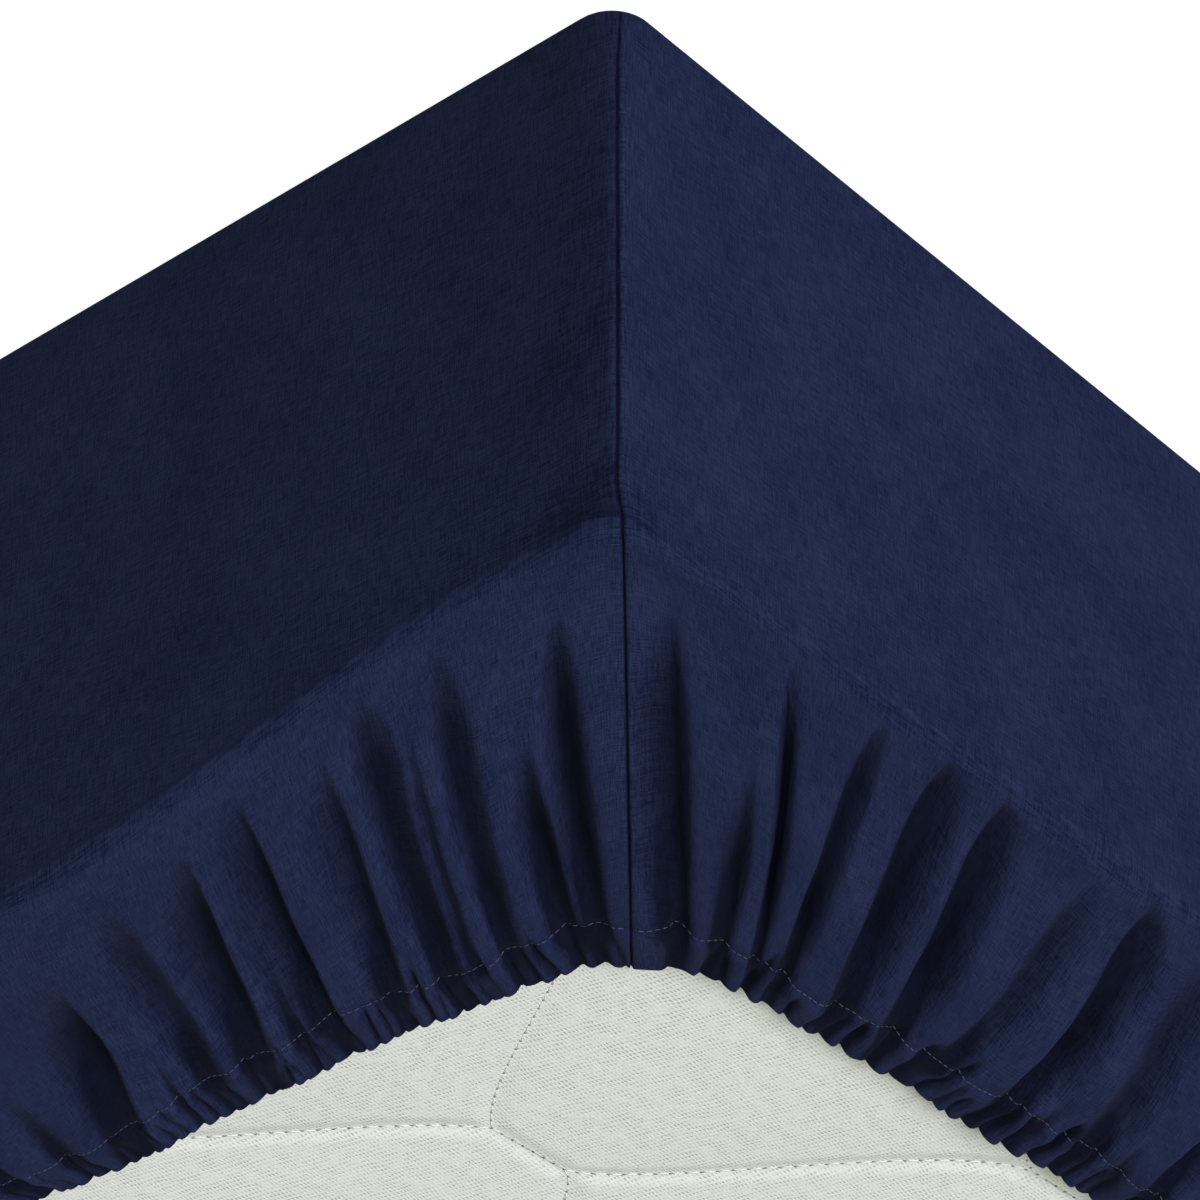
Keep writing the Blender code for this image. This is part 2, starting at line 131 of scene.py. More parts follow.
PINCH = 0.0040                # how far the upright cloth stands out at a corner seam
PINCH_END = (0.178, 0.214)    # heights over which that ends
PINCH_LONG = 0.080            # lengths over which that dies away along the two sides
PINCH_SHORT = 0.012
SEAM_DEPTH = 0.0015           # sewn line of a corner seam
SEAM_WIDTH = 0.00045
SEAM_FADE = 0.004             # height over which it fades out at the sleeping face
SEAM_RIDGE = 0.0002           # the seam allowance pushes up beside the seam
SEAM_RIDGE_AT = -0.0022
SEAM_RIDGE_WIDTH = 0.0012

Groove = namedtuple("Groove", "edge hem bow start fall rise depth hem_depth")

# The main grooves, as in the solid, in millimetres from the corner seam.  edge and hem are a
# groove's places at the mattress's edge and the hem, bow its sideways bow between them, start
# the share of the way at which it begins, fall and rise the widths of its flanks nearer to and
# farther from the seam, depth and hem_depth how deep it is on the way and at the hem.
LONG_SIDE = [
    Groove(27, 13, 0, 0.10, 6, 7, 10, 4),
    Groove(46, 22, 1, 0.34, 7, 8, 10, 4),
    Groove(78, 46, 0, 0.05, 10, 4, 8, 3),
    Groove(94, 59, 0, 0.14, 4, 7, 4, 2),
    Groove(113, 74, -2, 0.03, 12, 6, 9, 3),
    Groove(133, 97, -5, 0.12, 5, 16, 7, 3),
    Groove(167, 125, -1, 0.08, 4, 19, 8, 3),
    Groove(184, 144, -3, 0.16, 8, 8, 4, 2),
    Groove(192, 162, 0, 0.14, 6, 18, 9, 3),
    Groove(232, 184, 2, 0.14, 10, 13, 6, 2),
    Groove(246, 204, 0, 0.66, 4, 6, 5, 3),
    Groove(262, 231, 0, 0.32, 7, 24, 10, 3),
    Groove(345, 258, 0, 0.55, 9, 12, 4, 2),
    Groove(405, 283, 0, 0.42, 6, 16, 9, 3),
]
SHORT_SIDE = [
    Groove(20, 14, -1, 0.10, 13, 5, 9, 4),
    Groove(65, 26, -2, 0.34, 8, 5, 8, 3),
    Groove(82, 41, 0, 0.06, 4, 4, 10, 4),
    Groove(134, 55, -9, 0.02, 4, 7, 10, 4),
    Groove(170, 82, -7, 0.00, 6, 15, 12, 3),
    Groove(202, 108, -4, 0.00, 6, 14, 12, 3),
    Groove(256, 127, 4, 0.04, 7, 12, 7, 2),
    Groove(288, 165, 7, 0.00, 7, 14, 12, 3),
    Groove(304, 195, 0, 0.62, 5, 6, 5, 2),
    Groove(325, 221, 2, 0.04, 10, 12, 7, 3),
    Groove(342, 243, 0, 0.62, 5, 6, 5, 2),
    Groove(394, 258, -1, 0.30, 6, 14, 9, 3),
]
PLAIN_PITCH = 0.047           # grooves beyond the tables, up to the middle of a side
PLAIN_GROOVE = Groove(0, 0, 0, 0.24, 9, 20, 8, 3)
PLAIN_WANDER = 0.16           # how unevenly they are spaced, as a share of the pitch
PLAIN_TURNS = (2.3, 1.3, 0.7)
CORNER_WANDER = 0.0015        # how far the tables' grooves wander at the other corners
CORNER_WANDER_DEPTH = 0.22
CORNER_TURNS = (1.7, 2.1, 1.0)

# Small ruffles of the hem band, between the stitch line and the hem's edge.  stitch and hem are
# a ruffle's places at the two; start is in widths of the band from the stitch line.
Ruffle = namedtuple("Ruffle", "stitch hem start steep slope depth")
RUFFLE_PITCH_LONG = (0.0050, 0.0092)
RUFFLE_PITCH_SHORT = (0.0080, 0.0150)
RUFFLE_DEPTH = (0.26, 0.42)   # its depth, and the widths of its two flanks, as shares of
RUFFLE_STEEP = (0.24, 0.36)   # the distance to the next
RUFFLE_SLOPE = (0.50, 0.80)
RUFFLE_DRIFT = (-0.003, 0.006)
RUFFLE_START = (-0.70, 0.10)
RUFFLE_GROWTH = 0.55          # share of the band in which a ruffle gets its depth
RUFFLE_CLEAR = 0.004          # distance of the last ruffle from a side's middle
RUFFLE_SEED = 11
HEM_SCALLOP = 0.0013          # how far the edge draws back at a ruffle of a certain depth
SCALLOP_RUFFLE = 0.004
CALM_GROOVES = 0.55           # shares by which grooves and ruffles flatten at the hem's edge
CALM_RUFFLES = 0.55
CALM_FROM = 0.4               # share of the band at which ruffles start to flatten
CALM_IN_GROOVE = 0.5          # and share by which they flatten in a groove of a certain depth
CALM_GROOVE_DEPTH = 0.010

CORNERS = ((1, -1), (1, 1), (-1, 1), (-1, -1))
PICTURED = 0                  # the corner that the camera sees

# Spacing of the mesh's columns along the hem
FINE_STEP = 0.0011
COARSE_STEP = 0.0042
FINE_SPAN = (-0.430, 0.420)   # the pictured stretch, on the mattress's edge
SEAM_COLUMNS = (0.0003, 0.0006, 0.0010, 0.0018, 0.0030, 0.0045, 0.0060)
SEAM_COLUMNS_CLEAR = 0.0004   # least distance of the other columns from these
SIDE_ALL_WITHIN = 0.030       # the sides get every column this near to a corner
SIDE_EVERY_FINE = 7
SIDE_EVERY_COARSE = 4

# ---------------------------------------------------------------- quilting of the mattress

QUILT_LINE = 0.136            # mean distance between two quilting lines, along the bed
QUILT_STEM = 0.044            # length over which two lines run together
QUILT_SWING = 0.120           # length, across the bed, of a line's swing to the next stem
QUILT_AT = (0.383, -0.659)    # middle of one stem
QUILT_DEPTH = 0.0012
QUILT_WIDTH = 0.0080
QUILT_SOFT_DEPTH = 0.0007
QUILT_SOFT_WIDTH = 0.030
QUILT_STITCH = 0.0060
QUILT_EASE = 0.6              # share of a smooth step in a line's swing, the rest a sine
QUILT_PROBE = 0.0005          # step at which a line's slope is taken


def smoothstep(value):
    value = np.clip(value, 0.0, 1.0)
    return value * value * (3 - 2 * value)


def ramp(value, low, high):
    """0 up to low, 1 from high on, and smooth between them."""
    return smoothstep((value - low) / (high - low))


def waves(place, level, table):
    """Sum of slow waves, from rows of (turns along, turns across, phase, size)."""
    return sum(size * np.sin(place * along + level * across + phase)
               for along, across, phase, size in table)


# ---------------------------------------------------------------- plan of one corner

def corner_point(distance, inset_long, inset_short, radius):
    """(along, across) on a rounded corner's outline, positive distances on the long side."""
    distance = np.asarray(distance, float)
    half_round = radius * math.pi / 4
    run = np.abs(distance)
    in_round = run < half_round
    angle = math.pi / 4 - run / radius
    straight = radius + run - half_round
    near = np.where(in_round, radius * (1 - np.sin(angle)), straight)
    far = np.where(in_round, radius * (1 - np.cos(angle)), 0.0)
    on_long = distance >= 0
    along = inset_short + np.where(on_long, near, far)
    across = inset_long + np.where(on_long, far, near)
    return along, across


def half_length(side, inset_along, radius):
    return side / 2 - inset_along - radius + radius * math.pi / 4


EDGE_HALF_LONG = half_length(LENGTH, 0, CORNER_RADIUS)
EDGE_HALF_SHORT = half_length(WIDTH, 0, CORNER_RADIUS)
HEM_HALF_LONG = half_length(LENGTH, HEM_IN_SHORT, HEM_RADIUS)
HEM_HALF_SHORT = half_length(WIDTH, HEM_IN_LONG, HEM_RADIUS)
CORNER_RUN = EDGE_HALF_SHORT + EDGE_HALF_LONG


def creased_point(edge, crease):
    """Outline point of the upright cloth, its corner round at a crease of 0 and sharp at 1."""
    half_round = CORNER_RADIUS * math.pi / 4
    half_crease = CORNER_RADIUS - CREASE_RADIUS + CREASE_RADIUS * math.pi / 4
    along, across = corner_point(edge, 0, 0, CORNER_RADIUS)
    inner = np.clip(edge, -half_round, half_round)
    moved = edge - inner + np.interp(inner, (-half_round, SEAM_AT_EDGE, half_round),
                                     (-half_crease, CREASE_SEAM, half_crease))
    sharp_along, sharp_across = corner_point(moved, 0, 0, CREASE_RADIUS)
    return along + (sharp_along - along) * crease, across + (sharp_across - across) * crease


def drawn_out(height, end):
    """How far the upright corner is drawn out at a height, 0 to 1, fading over a span."""
    return ramp(height, *CREASE_START) * (1 - ramp(height, *end))


def column_ends(edge, hem):
    """A column's plan point on the mattress's edge, and its way from there to the hem."""
    edge_along, edge_across = corner_point(edge, 0, 0, CORNER_RADIUS)
    hem_along, hem_across = corner_point(hem, HEM_IN_LONG, HEM_IN_SHORT, HEM_RADIUS)
    return edge_along, edge_across, hem_along - edge_along, hem_across - edge_across


def column_run(edge, hem):
    """Length of a column's plan, from edge to hem."""
    return np.hypot(*column_ends(edge, hem)[2:])


def column_point(edge, hem, share):
    """Plan point of a column of cloth, a share of the way from mattress edge to hem."""
    edge_along, edge_across, run_along, run_across = column_ends(edge, hem)
    run = np.hypot(run_along, run_across)
    to_middle = np.where(edge > 0, EDGE_HALF_LONG, EDGE_HALF_SHORT) - np.abs(edge)
    bow = COLUMN_BOW * np.clip(edge / COLUMN_BOW_FROM, -1, 1)
    bow = bow * smoothstep(to_middle / COLUMN_BOW_TO) * np.sin(math.pi * np.clip(share, 0, 1))
    along = edge_along + run_along * share + bow * run_across / run
    across = edge_across + run_across * share - bow * run_along / run
    return along, across


def inset_run(edge, hem):
    """How fast a column gets away from the outline, for each whole share."""
    straight = np.where(edge > 0, HEM_IN_LONG, HEM_IN_SHORT)
    in_round = np.abs(edge) < CORNER_RADIUS * math.pi / 4
    return np.where(in_round, column_run(edge, hem), straight)


def edge_radius(edge):
    grown = ramp(np.abs(edge), *EDGE_RADIUS_SPAN)
    return EDGE_RADIUS_CORNER + (EDGE_RADIUS_SIDE - EDGE_RADIUS_CORNER) * grown


def edge_height(edge):
    """Height of the sheet's edge, where it turns from the side to the underside."""
    return HEIGHT + EDGE_SWELL * ramp(edge, *EDGE_SWELL_SPAN)


def inset_at(along, across):
    """Distance inside the sheet's outline."""
    in_round = (along < CORNER_RADIUS) & (across < CORNER_RADIUS)
    rounded = CORNER_RADIUS - np.hypot(CORNER_RADIUS - along, CORNER_RADIUS - across)
    return np.where(in_round, rounded, np.minimum(along, across))


def inward_of(edge):
    """Inward direction (along, across) of the outline at places on the edge."""
    half_round = CORNER_RADIUS * math.pi / 4
    turn = math.pi / 4 * np.clip(edge / half_round, -1, 1) + math.pi / 4
    return np.cos(turn), np.sin(turn)


def stitch_share(hem):
    at, stitch = np.array(HEM_LINES).T[:2]
    return np.interp(hem, at, stitch)


def hem_edge_share(hem):
    at, reach = np.array(HEM_LINES).T[::2]
    return np.interp(hem, at, reach)


# ---------------------------------------------------------------- folds of one corner

def wander(number, corner, sign, turns):
    """An uneven number from -1 to 1 for one groove, always the same."""
    return math.sin(turns[0] * number + turns[1] * corner + turns[2] * sign)


def in_metres(row):
    """A row of millimetres in metres; its start is a share and stays."""
    return Groove(*(value / 1000 for value in row))._replace(start=row.start)


def side_grooves(table, sign, corner, edge_half, hem_half):
    """Grooves from a corner seam to the middle of a side, in metres."""
    grooves = []
    for number, row in enumerate(map(in_metres, table)):
        swing = 0.0 if corner == PICTURED else wander(number, corner, sign, CORNER_TURNS)
        grooves.append(row._replace(
            edge=row.edge + CORNER_WANDER * swing,
            hem=row.hem + CORNER_WANDER * swing,
            depth=row.depth * (1 - CORNER_WANDER_DEPTH * swing * swing)))
    last = grooves[-1]
    plain = in_metres(PLAIN_GROOVE)
    count = round((edge_half - last.edge) / PLAIN_PITCH)
    for number in range(1, count):
        swing = PLAIN_WANDER * wander(number, corner, sign, PLAIN_TURNS)
        share = (number + swing) / count
        grooves.append(plain._replace(
            edge=last.edge + share * (edge_half - last.edge),
            hem=last.hem + share * (hem_half - last.hem),
            start=plain.start * (1 + 2 * swing),
            depth=plain.depth * (1 + swing),
            hem_depth=plain.hem_depth * (1 + swing)))
    return [groove._replace(edge=sign * groove.edge, hem=sign * groove.hem)
            for groove in grooves]


def corner_grooves(corner):
    short = side_grooves(SHORT_SIDE, -1, corner, EDGE_HALF_SHORT, HEM_HALF_SHORT)
    long = side_grooves(LONG_SIDE, 1, corner, EDGE_HALF_LONG, HEM_HALF_LONG)
    return short[::-1] + long


def valley(reach):
    """Cross-section of a dent, 1 at its bottom and 0 from a reach of 1 on."""
    reach = np.clip(reach, 0, 1)
    return (1 - reach) ** 2 * (1 + 2 * reach)


def scoop(reach):
    """Cross-section of a groove, round at its bottom and steepest near its crests."""
    reach = np.clip(reach, 0, 1)
    return 1 - 1.35 * reach ** 1.6 + 0.35 * reach ** 5


def carved(edge, hem, share, grooves):
    """Depth of the deepest main groove at each point, and the depth that the painted shade in it
    goes by.
    """
    depth = np.zeros_like(share)
    shade = np.zeros_like(share)
    flare = 1 + GROOVE_FLARE * np.clip(1 - share, 0, 1)
    near_hem = ramp(share, *DEPTH_FADE)
    sway = np.sin(math.pi * np.clip(share, 0, 1))
    for groove in grooves:
        sign = math.copysign(1, groove.edge)
        place = groove.edge * (1 - share) + groove.hem * share + sign * groove.bow * sway
        away = (edge * (1 - share) + hem * share - place) * sign
        begun = np.clip((share - groove.start) / GROOVE_GROWTH, 0, 1)
        grown = (smoothstep(begun) + begun * (2 - begun)) / 2
        reach = np.abs(away) / (flare * (GROOVE_TIP + (1 - GROOVE_TIP) * grown))
        section = scoop(reach / np.where(away > 0, groove.rise, groove.fall))
        most = groove.depth + (groove.hem_depth - groove.depth) * near_hem
        depth = np.maximum(depth, most * grown * section)
        # painted shade: how far the colour is darkened, by the groove's depth and flanks
        steep = scoop(reach / groove.fall * PAINTED_SHADE_REACH)
        dark = np.clip(np.where(away > 0, section, steep), 0, 1)
        dark = dark ** (1 + PAINTED_SHADE_NARROW * near_hem)
        shade = np.maximum(shade, groove.depth * grown * dark)
    return depth, shade * (1 + PAINTED_SHADE_HEM * near_hem)


def unevenness(edge, hem, share):
    """Slow rise and fall of the gathered cloth."""
    wave = waves(edge * (1 - share) + hem * share, share, UNEVEN_WAVES)
    return wave * smoothstep((share - UNEVEN_FROM) / UNEVEN_GROWTH)


def side_ruffles(random, hem_half, sign):
    """Small folds of the hem band from a corner seam to the middle of a side."""
    ruffles = []
    pitch = RUFFLE_PITCH_LONG if sign > 0 else RUFFLE_PITCH_SHORT
    at = random.uniform(*pitch)
    while at < hem_half - RUFFLE_CLEAR:
        gap = random.uniform(*pitch)
        drift = random.uniform(*RUFFLE_DRIFT)
        ruffles.append(Ruffle(sign * (at + drift), sign * at,
                              random.uniform(*RUFFLE_START),
                              gap * random.uniform(*RUFFLE_STEEP),
                              gap * random.uniform(*RUFFLE_SLOPE),
                              gap * random.uniform(*RUFFLE_DEPTH)))
        at += gap
    return ruffles


def corner_ruffles(corner):
    random = np.random.default_rng(RUFFLE_SEED + corner)
    return side_ruffles(random, HEM_HALF_SHORT, -1) + side_ruffles(random, HEM_HALF_LONG, 1)


def ruffled(hem, band, ruffles):
    """Depth of the ruffles; band is 0 at the stitch line and 1 at the hem's edge."""
    depth = np.zeros_like(band)
    for ruffle in ruffles:
        offset = hem - (ruffle.stitch + (ruffle.hem - ruffle.stitch) * band)
        away = offset if ruffle.hem > 0 else -offset
        flank = np.where(away > 0, ruffle.slope, ruffle.steep)
        grown = smoothstep((band - ruffle.start) / RUFFLE_GROWTH)
        notch = (1 - np.clip(np.abs(away) / flank, 0, 1)) ** 2
        depth = np.maximum(depth, ruffle.depth * grown * notch)
    return depth


def seam_line(offset):
    """Cross-section of the sewn line, 1 at its middle, which is also the painted shade along it.
    """
    return np.exp(-(offset / SEAM_WIDTH) ** 2)


def seam_relief(offset):
    """Height of the cloth by a corner seam: the sewn line and the allowance beside it."""
    ridge = np.exp(-((offset - SEAM_RIDGE_AT) / SEAM_RIDGE_WIDTH) ** 2)
    return SEAM_RIDGE * ridge - SEAM_DEPTH * seam_line(offset)


def pinched(offset):
    """How far the cloth stands out towards a corner seam."""
    fade = np.where(offset > 0, PINCH_LONG, PINCH_SHORT)
    return PINCH * np.exp(-np.abs(offset) / fade)


def room_below(inset, level):
    """Distance from a point inside the sheet's outline to the mattress, round at its edge."""
    centre_inset = MATTRESS_UNDERSIDE_RADIUS + SIDE_GAP
    centre_height = MATTRESS_TOP - MATTRESS_UNDERSIDE_RADIUS
    reach = np.hypot(np.clip(centre_inset - inset, 0, None), level - centre_height)
    return reach - MATTRESS_UNDERSIDE_RADIUS


def cloth_place(corner, edge, hem, share):
    """Plan point (along, across), height and painted shade of the sheet's face, edge to hem.

    Folds go straight down on the flat part and at right angles to the face in the edge's round.
    """
    along, across = column_point(edge, hem, share)
    radius = edge_radius(edge)
    inset = inset_at(along, across)
    short_of = np.clip(radius - inset, 0, radius)
    upward = np.sqrt(radius ** 2 - short_of ** 2) / radius
    outward = short_of / radius
    swell = (edge_height(edge) - HEIGHT) * smoothstep(share / EDGE_SWELL_END)
    level = edge_height(edge) - swell - radius + radius * upward
    stitch = stitch_share(hem)
    band = (share - stitch) / (hem_edge_share(hem) - stitch)
    crown = CROWN * ramp(share, *CROWN_SPAN) - (CROWN - CROWN_HEM) * smoothstep(band)
    main, shade = carved(edge, hem, share, GROOVES[corner])
    small = ruffled(hem, band, RUFFLES[corner])
    from_stitch = (share - stitch) * column_run(edge, hem)
    dip = STITCH_DIP * np.exp(-(from_stitch / STITCH_DIP_WIDTH) ** 2)
    seam = (edge - SEAM_AT_EDGE) * (1 - share) + (hem - SEAM_AT_HEM) * share
    relief = crown + unevenness(edge, hem, share) - dip + seam_relief(seam)
    relief = relief - main * (1 - CALM_GROOVES * smoothstep(band))
    calm = 1 - CALM_RUFFLES * ramp(band, CALM_FROM, 1)
    calm = calm * (1 - CALM_IN_GROOVE * main / CALM_GROOVE_DEPTH)
    relief = np.maximum(relief - small * calm, CLOTH_GAP - room_below(inset, level))
    height = level + relief * upward
    inward = -relief * outward
    in_along, in_across = inward_of(edge)
    # painted shade: darkening from the grooves, ruffles, the edge's round, the seam and the
    # corner
    shade = shade * (1 - PAINTED_SHADE_BAND * smoothstep(band / PAINTED_SHADE_BAND_BY))
    round_edge = smoothstep(np.abs(edge) / PAINTED_SHADE_EDGE_FROM) * 2 * outward * upward
    painted_shade = shade / PAINTED_SHADE_DEPTH + small / PAINTED_SHADE_RUFFLE + PAINTED_SHADE_EDGE * round_edge
    painted_shade = painted_shade + seam_line(seam)
    painted_shade = painted_shade + corner_shade(edge, 0.0) * np.exp(-(inset / CORNER_SHADE_IN) ** 2)
    return along + in_along * inward, across + in_across * inward, height, painted_shade


GROOVES = [corner_grooves(corner) for corner in range(len(CORNERS))]
RUFFLES = [corner_ruffles(corner) for corner in range(len(CORNERS))]


# ---------------------------------------------------------------- columns of one corner

def column_stops(corner):
    """Places on the mattress's edge and on the hem that a corner's columns join, in order."""
    stops = [(groove.edge, groove.hem) for groove in GROOVES[corner]]
    stops += [(SEAM_AT_EDGE, SEAM_AT_HEM), (-EDGE_HALF_SHORT, -HEM_HALF_SHORT),
              (EDGE_HALF_LONG, HEM_HALF_LONG)]
    return np.array(sorted(stops)).T


def spaced(first, last, step):
    count = max(1, round((last - first) / step))
    return np.linspace(first, last, count + 1)


def graded(low, high, span, coarse_step, fine_step):
    """Places from low to high as three runs, of which the middle one, in a span, is fine."""
    return [spaced(low, span[0], coarse_step)[:-1], spaced(*span, fine_step),
            spaced(span[1], high, coarse_step)[1:]]


def corner_columns(corner):
    """(edge, hem, on the side too) of a corner's columns, from short side to long side."""
    edges, hems = column_stops(corner)
    if corner == PICTURED:
        runs = graded(-HEM_HALF_SHORT, HEM_HALF_LONG, np.interp(FINE_SPAN, edges, hems),
                      COARSE_STEP, FINE_STEP)
        hem = np.concatenate(runs)
        every = np.repeat((SIDE_EVERY_COARSE, SIDE_EVERY_FINE, SIDE_EVERY_COARSE),
                          [len(run) for run in runs])
    else:
        hem = spaced(-HEM_HALF_SHORT, HEM_HALF_LONG, COARSE_STEP)
        every = np.full(len(hem), SIDE_EVERY_COARSE)
    edge = np.interp(hem, hems, edges)
    kept = np.abs(edge - SEAM_AT_EDGE) > SEAM_COLUMNS[-1] + SEAM_COLUMNS_CLEAR
    on_side = (np.arange(len(hem)) % every == 0) | (np.abs(edge) < SIDE_ALL_WITHIN)
    on_side[0] = on_side[-1] = True
    close = np.array([-s for s in SEAM_COLUMNS[::-1]] + [0.0] + list(SEAM_COLUMNS))
    close = close + SEAM_AT_EDGE
    split = int(np.searchsorted(edge[kept], SEAM_AT_EDGE))
    edge = np.insert(edge[kept], split, close)
    on_side = np.insert(on_side[kept], split, np.ones(len(close), bool))
    return edge, np.interp(edge, edges, hems), on_side


def to_world(corner, along, across):
    side_x, side_y = CORNERS[corner]
    return side_x * (WIDTH / 2 - across), side_y * (LENGTH / 2 - along)


# ---------------------------------------------------------------- rows of the sheet

ROUND_TURNS = np.radians([0, 11, 22, 33, 44, 55, 66, 78])
GATHER_STEPS = 19
STITCH_STEPS = np.array([-0.0075, -0.0045, -0.0022, 0.0, 0.0022, 0.0048])  # metres from it
BAND_STEPS = np.array([0.30, 0.42, 0.54, 0.65, 0.76, 0.86, 0.94])
FOLD_TURNS = np.radians([0, 45, 90, 135, 180])
INNER_STEPS = (0.80, 0.40, 0.0)


def fine_rows(corner, edge, hem):
    """World points of a corner's rows from the upright side to the turned hem."""
    run = column_run(edge, hem)
    radius = edge_radius(edge)
    stitch = stitch_share(hem)
    shares = [radius * (1 - math.cos(turn)) / inset_run(edge, hem) for turn in ROUND_TURNS]
    first = radius / inset_run(edge, hem)
    last = stitch + STITCH_STEPS[0] / run
    for step in range(GATHER_STEPS):
        shares.append(first + (last - first) * step / GATHER_STEPS)
    shares += [stitch + step / run for step in STITCH_STEPS]

    bead = HEM_THICKNESS / 2
    drawn = ruffled(hem, np.ones_like(edge), RUFFLES[corner]) / SCALLOP_RUFFLE
    reach = hem_edge_share(hem) - HEM_SCALLOP * drawn / run
    shares += [stitch + (reach - stitch) * step for step in BAND_STEPS]
    shares = np.array(shares)
    along, across, heights, painted_shade = cloth_place(corner, edge[None], hem[None], shares)

    tip = reach - bead / run
    tip_height = cloth_place(corner, edge, hem, tip)[2]
    fold_shares = [tip + bead / run * math.sin(turn) for turn in FOLD_TURNS]
    fold_heights = [tip_height - bead * (1 - math.cos(turn)) for turn in FOLD_TURNS]
    for step in INNER_STEPS:
        share = stitch + (tip - stitch) * step
        fold_shares.append(share)
        fold_heights.append(cloth_place(corner, edge, hem, share)[2] - HEM_THICKNESS)
    lowest = MATTRESS_TOP + HEM_CLEAR
    fold_along, fold_across = column_point(edge[None], hem[None], np.array(fold_shares))
    along = np.vstack([along, fold_along])
    across = np.vstack([across, fold_across])
    heights = np.vstack([heights, np.maximum(fold_heights, lowest)])
    # the turned hem keeps the painted shade of the band's last row
    painted_shade = np.vstack([painted_shade, np.tile(painted_shade[-1], (len(fold_heights), 1))])
    shares = np.vstack([shares, fold_shares])
    x, y = to_world(corner, along, across)
    drop = HEIGHT - radius + np.minimum(shares * run / radius, math.pi / 2) * radius
    drop = drop + np.clip(shares * run - radius, 0, None)
    return np.stack([x, y, heights], -1), drop, painted_shade


SIDE_ROWS = (0.0, 0.015, 0.03, 0.045, 0.06, 0.08, 0.12, 0.25, 0.40, 0.55, 0.70, 0.85)
SIDE_TOP_GAP = 0.002          # height from the highest of them to the edge's round
LOW_TURNS = np.radians([90, 68, 45, 22, 0])
SIDE_WAVES = ((19.0, 9.0, 0.0, 0.0005), (43.0, -21.0, 0.0, 0.0003), (7.3, 0.0, 2.0, 0.00025))
SIDE_WAVE_LOW = 0.06          # heights in which the waves grow at the sleeping face
SIDE_WAVE_TOP = 0.03          # distance below the edge at which they have faded
SIDE_WAVE_FADE = 0.05         # and height in which they fade
SIDE_WAVE_FROM = 0.03         # distance from a corner seam at which they begin
SIDE_WAVE_GROWTH = 0.12       # and length in which they grow
CORNER_SHADE = 0.45           # painted shade on the side just under the corner's edge
CORNER_SHADE_LONG = 0.036     # lengths over which that fades along the two sides
CORNER_SHADE_SHORT = 0.017
CORNER_SHADE_DROP = 0.015     # and down them
CORNER_SHADE_IN = 0.0035      # and in over the edge
SEAM_SHADE = 0.28             # painted shade on the long side by the seam, and its reach
SEAM_SHADE_LONG = 0.070


def corner_shade(edge, below):
    """Painted shade on the side under the corner's edge, which bulges over it."""
    fade = np.where(edge > 0, CORNER_SHADE_LONG, CORNER_SHADE_SHORT)
    return CORNER_SHADE * np.exp(-(edge / fade) ** 2 - (below / CORNER_SHADE_DROP) ** 2)


def side_wave(around, height):
    """Slow unevenness of the upright cloth."""
    fade = smoothstep(height / SIDE_WAVE_LOW)
    fade = fade * smoothstep((HEIGHT - SIDE_WAVE_TOP - height) / SIDE_WAVE_FADE)
    return fade * waves(around, height, SIDE_WAVES)


def side_rows(corner, edge, around):
    """World points of a corner's upright rows from low to top, and their painted shade."""
    low = SLEEPING_EDGE_RADIUS
    seam = seam_relief(edge - SEAM_AT_EDGE)
    off_corner = smoothstep((np.abs(edge) - SIDE_WAVE_FROM) / SIDE_WAVE_GROWTH)
    # painted shade by the seam on the long side, and along the sewn line
    by_seam = SEAM_SHADE * np.exp(-np.abs(edge) / SEAM_SHADE_LONG)
    by_seam = seam_line(edge - SEAM_AT_EDGE) + np.where(edge > SEAM_AT_EDGE, by_seam, 0)
    in_along, in_across = inward_of(edge)
    points, painted_shade = [], []
    top = edge_height(edge) - edge_radius(edge)
    rows = [(low * (1 - math.sin(turn)), np.full_like(edge, low * (1 - math.cos(turn))))
            for turn in LOW_TURNS[::-1]]
    rows += [(0.0, top - (top - low) * share) for share in SIDE_ROWS[:0:-1]]
    rows.append((0.0, top - SIDE_TOP_GAP))
    for inset, height in rows:
        push = seam * smoothstep(height / SEAM_FADE)
        push = push + pinched(edge) * drawn_out(height, PINCH_END)
        push = push + side_wave(around, height) * off_corner
        along, across = creased_point(edge, drawn_out(height, CREASE_END))
        x, y = to_world(corner, along + in_along * (inset - push),
                        across + in_across * (inset - push))
        points.append(np.stack([x, y, height], -1))
        painted_shade.append(by_seam + corner_shade(edge, top - height))
    return np.array(points), np.array(painted_shade)


# ---------------------------------------------------------------- the sheet's mesh

def ring_order(values, corner):
    """Columns once round the bed, anticlockwise; the column two corners share is kept once."""
    columns = column_axis(values)
    if corner % 2:
        values = np.flip(values, columns)
    return np.delete(values, -1, columns)


def column_axis(values):
    """Columns come second in rows of points or numbers, and first in a plain row."""
    return min(values.ndim - 1, 1)


def around_of(corner, edge):
    if corner % 2:
        return corner * CORNER_RUN + EDGE_HALF_LONG - edge
    return corner * CORNER_RUN + EDGE_HALF_SHORT + edge


def quads(lower, upper):
    following_low = np.roll(lower, -1)
    following_up = np.roll(upper, -1)
    return np.stack([lower, following_low, following_up, upper], -1).tolist()


def stacked(rings):
    """Quads between each ring and the next."""
    return [face for lower, upper in zip(rings, rings[1:]) for face in quads(lower, upper)]


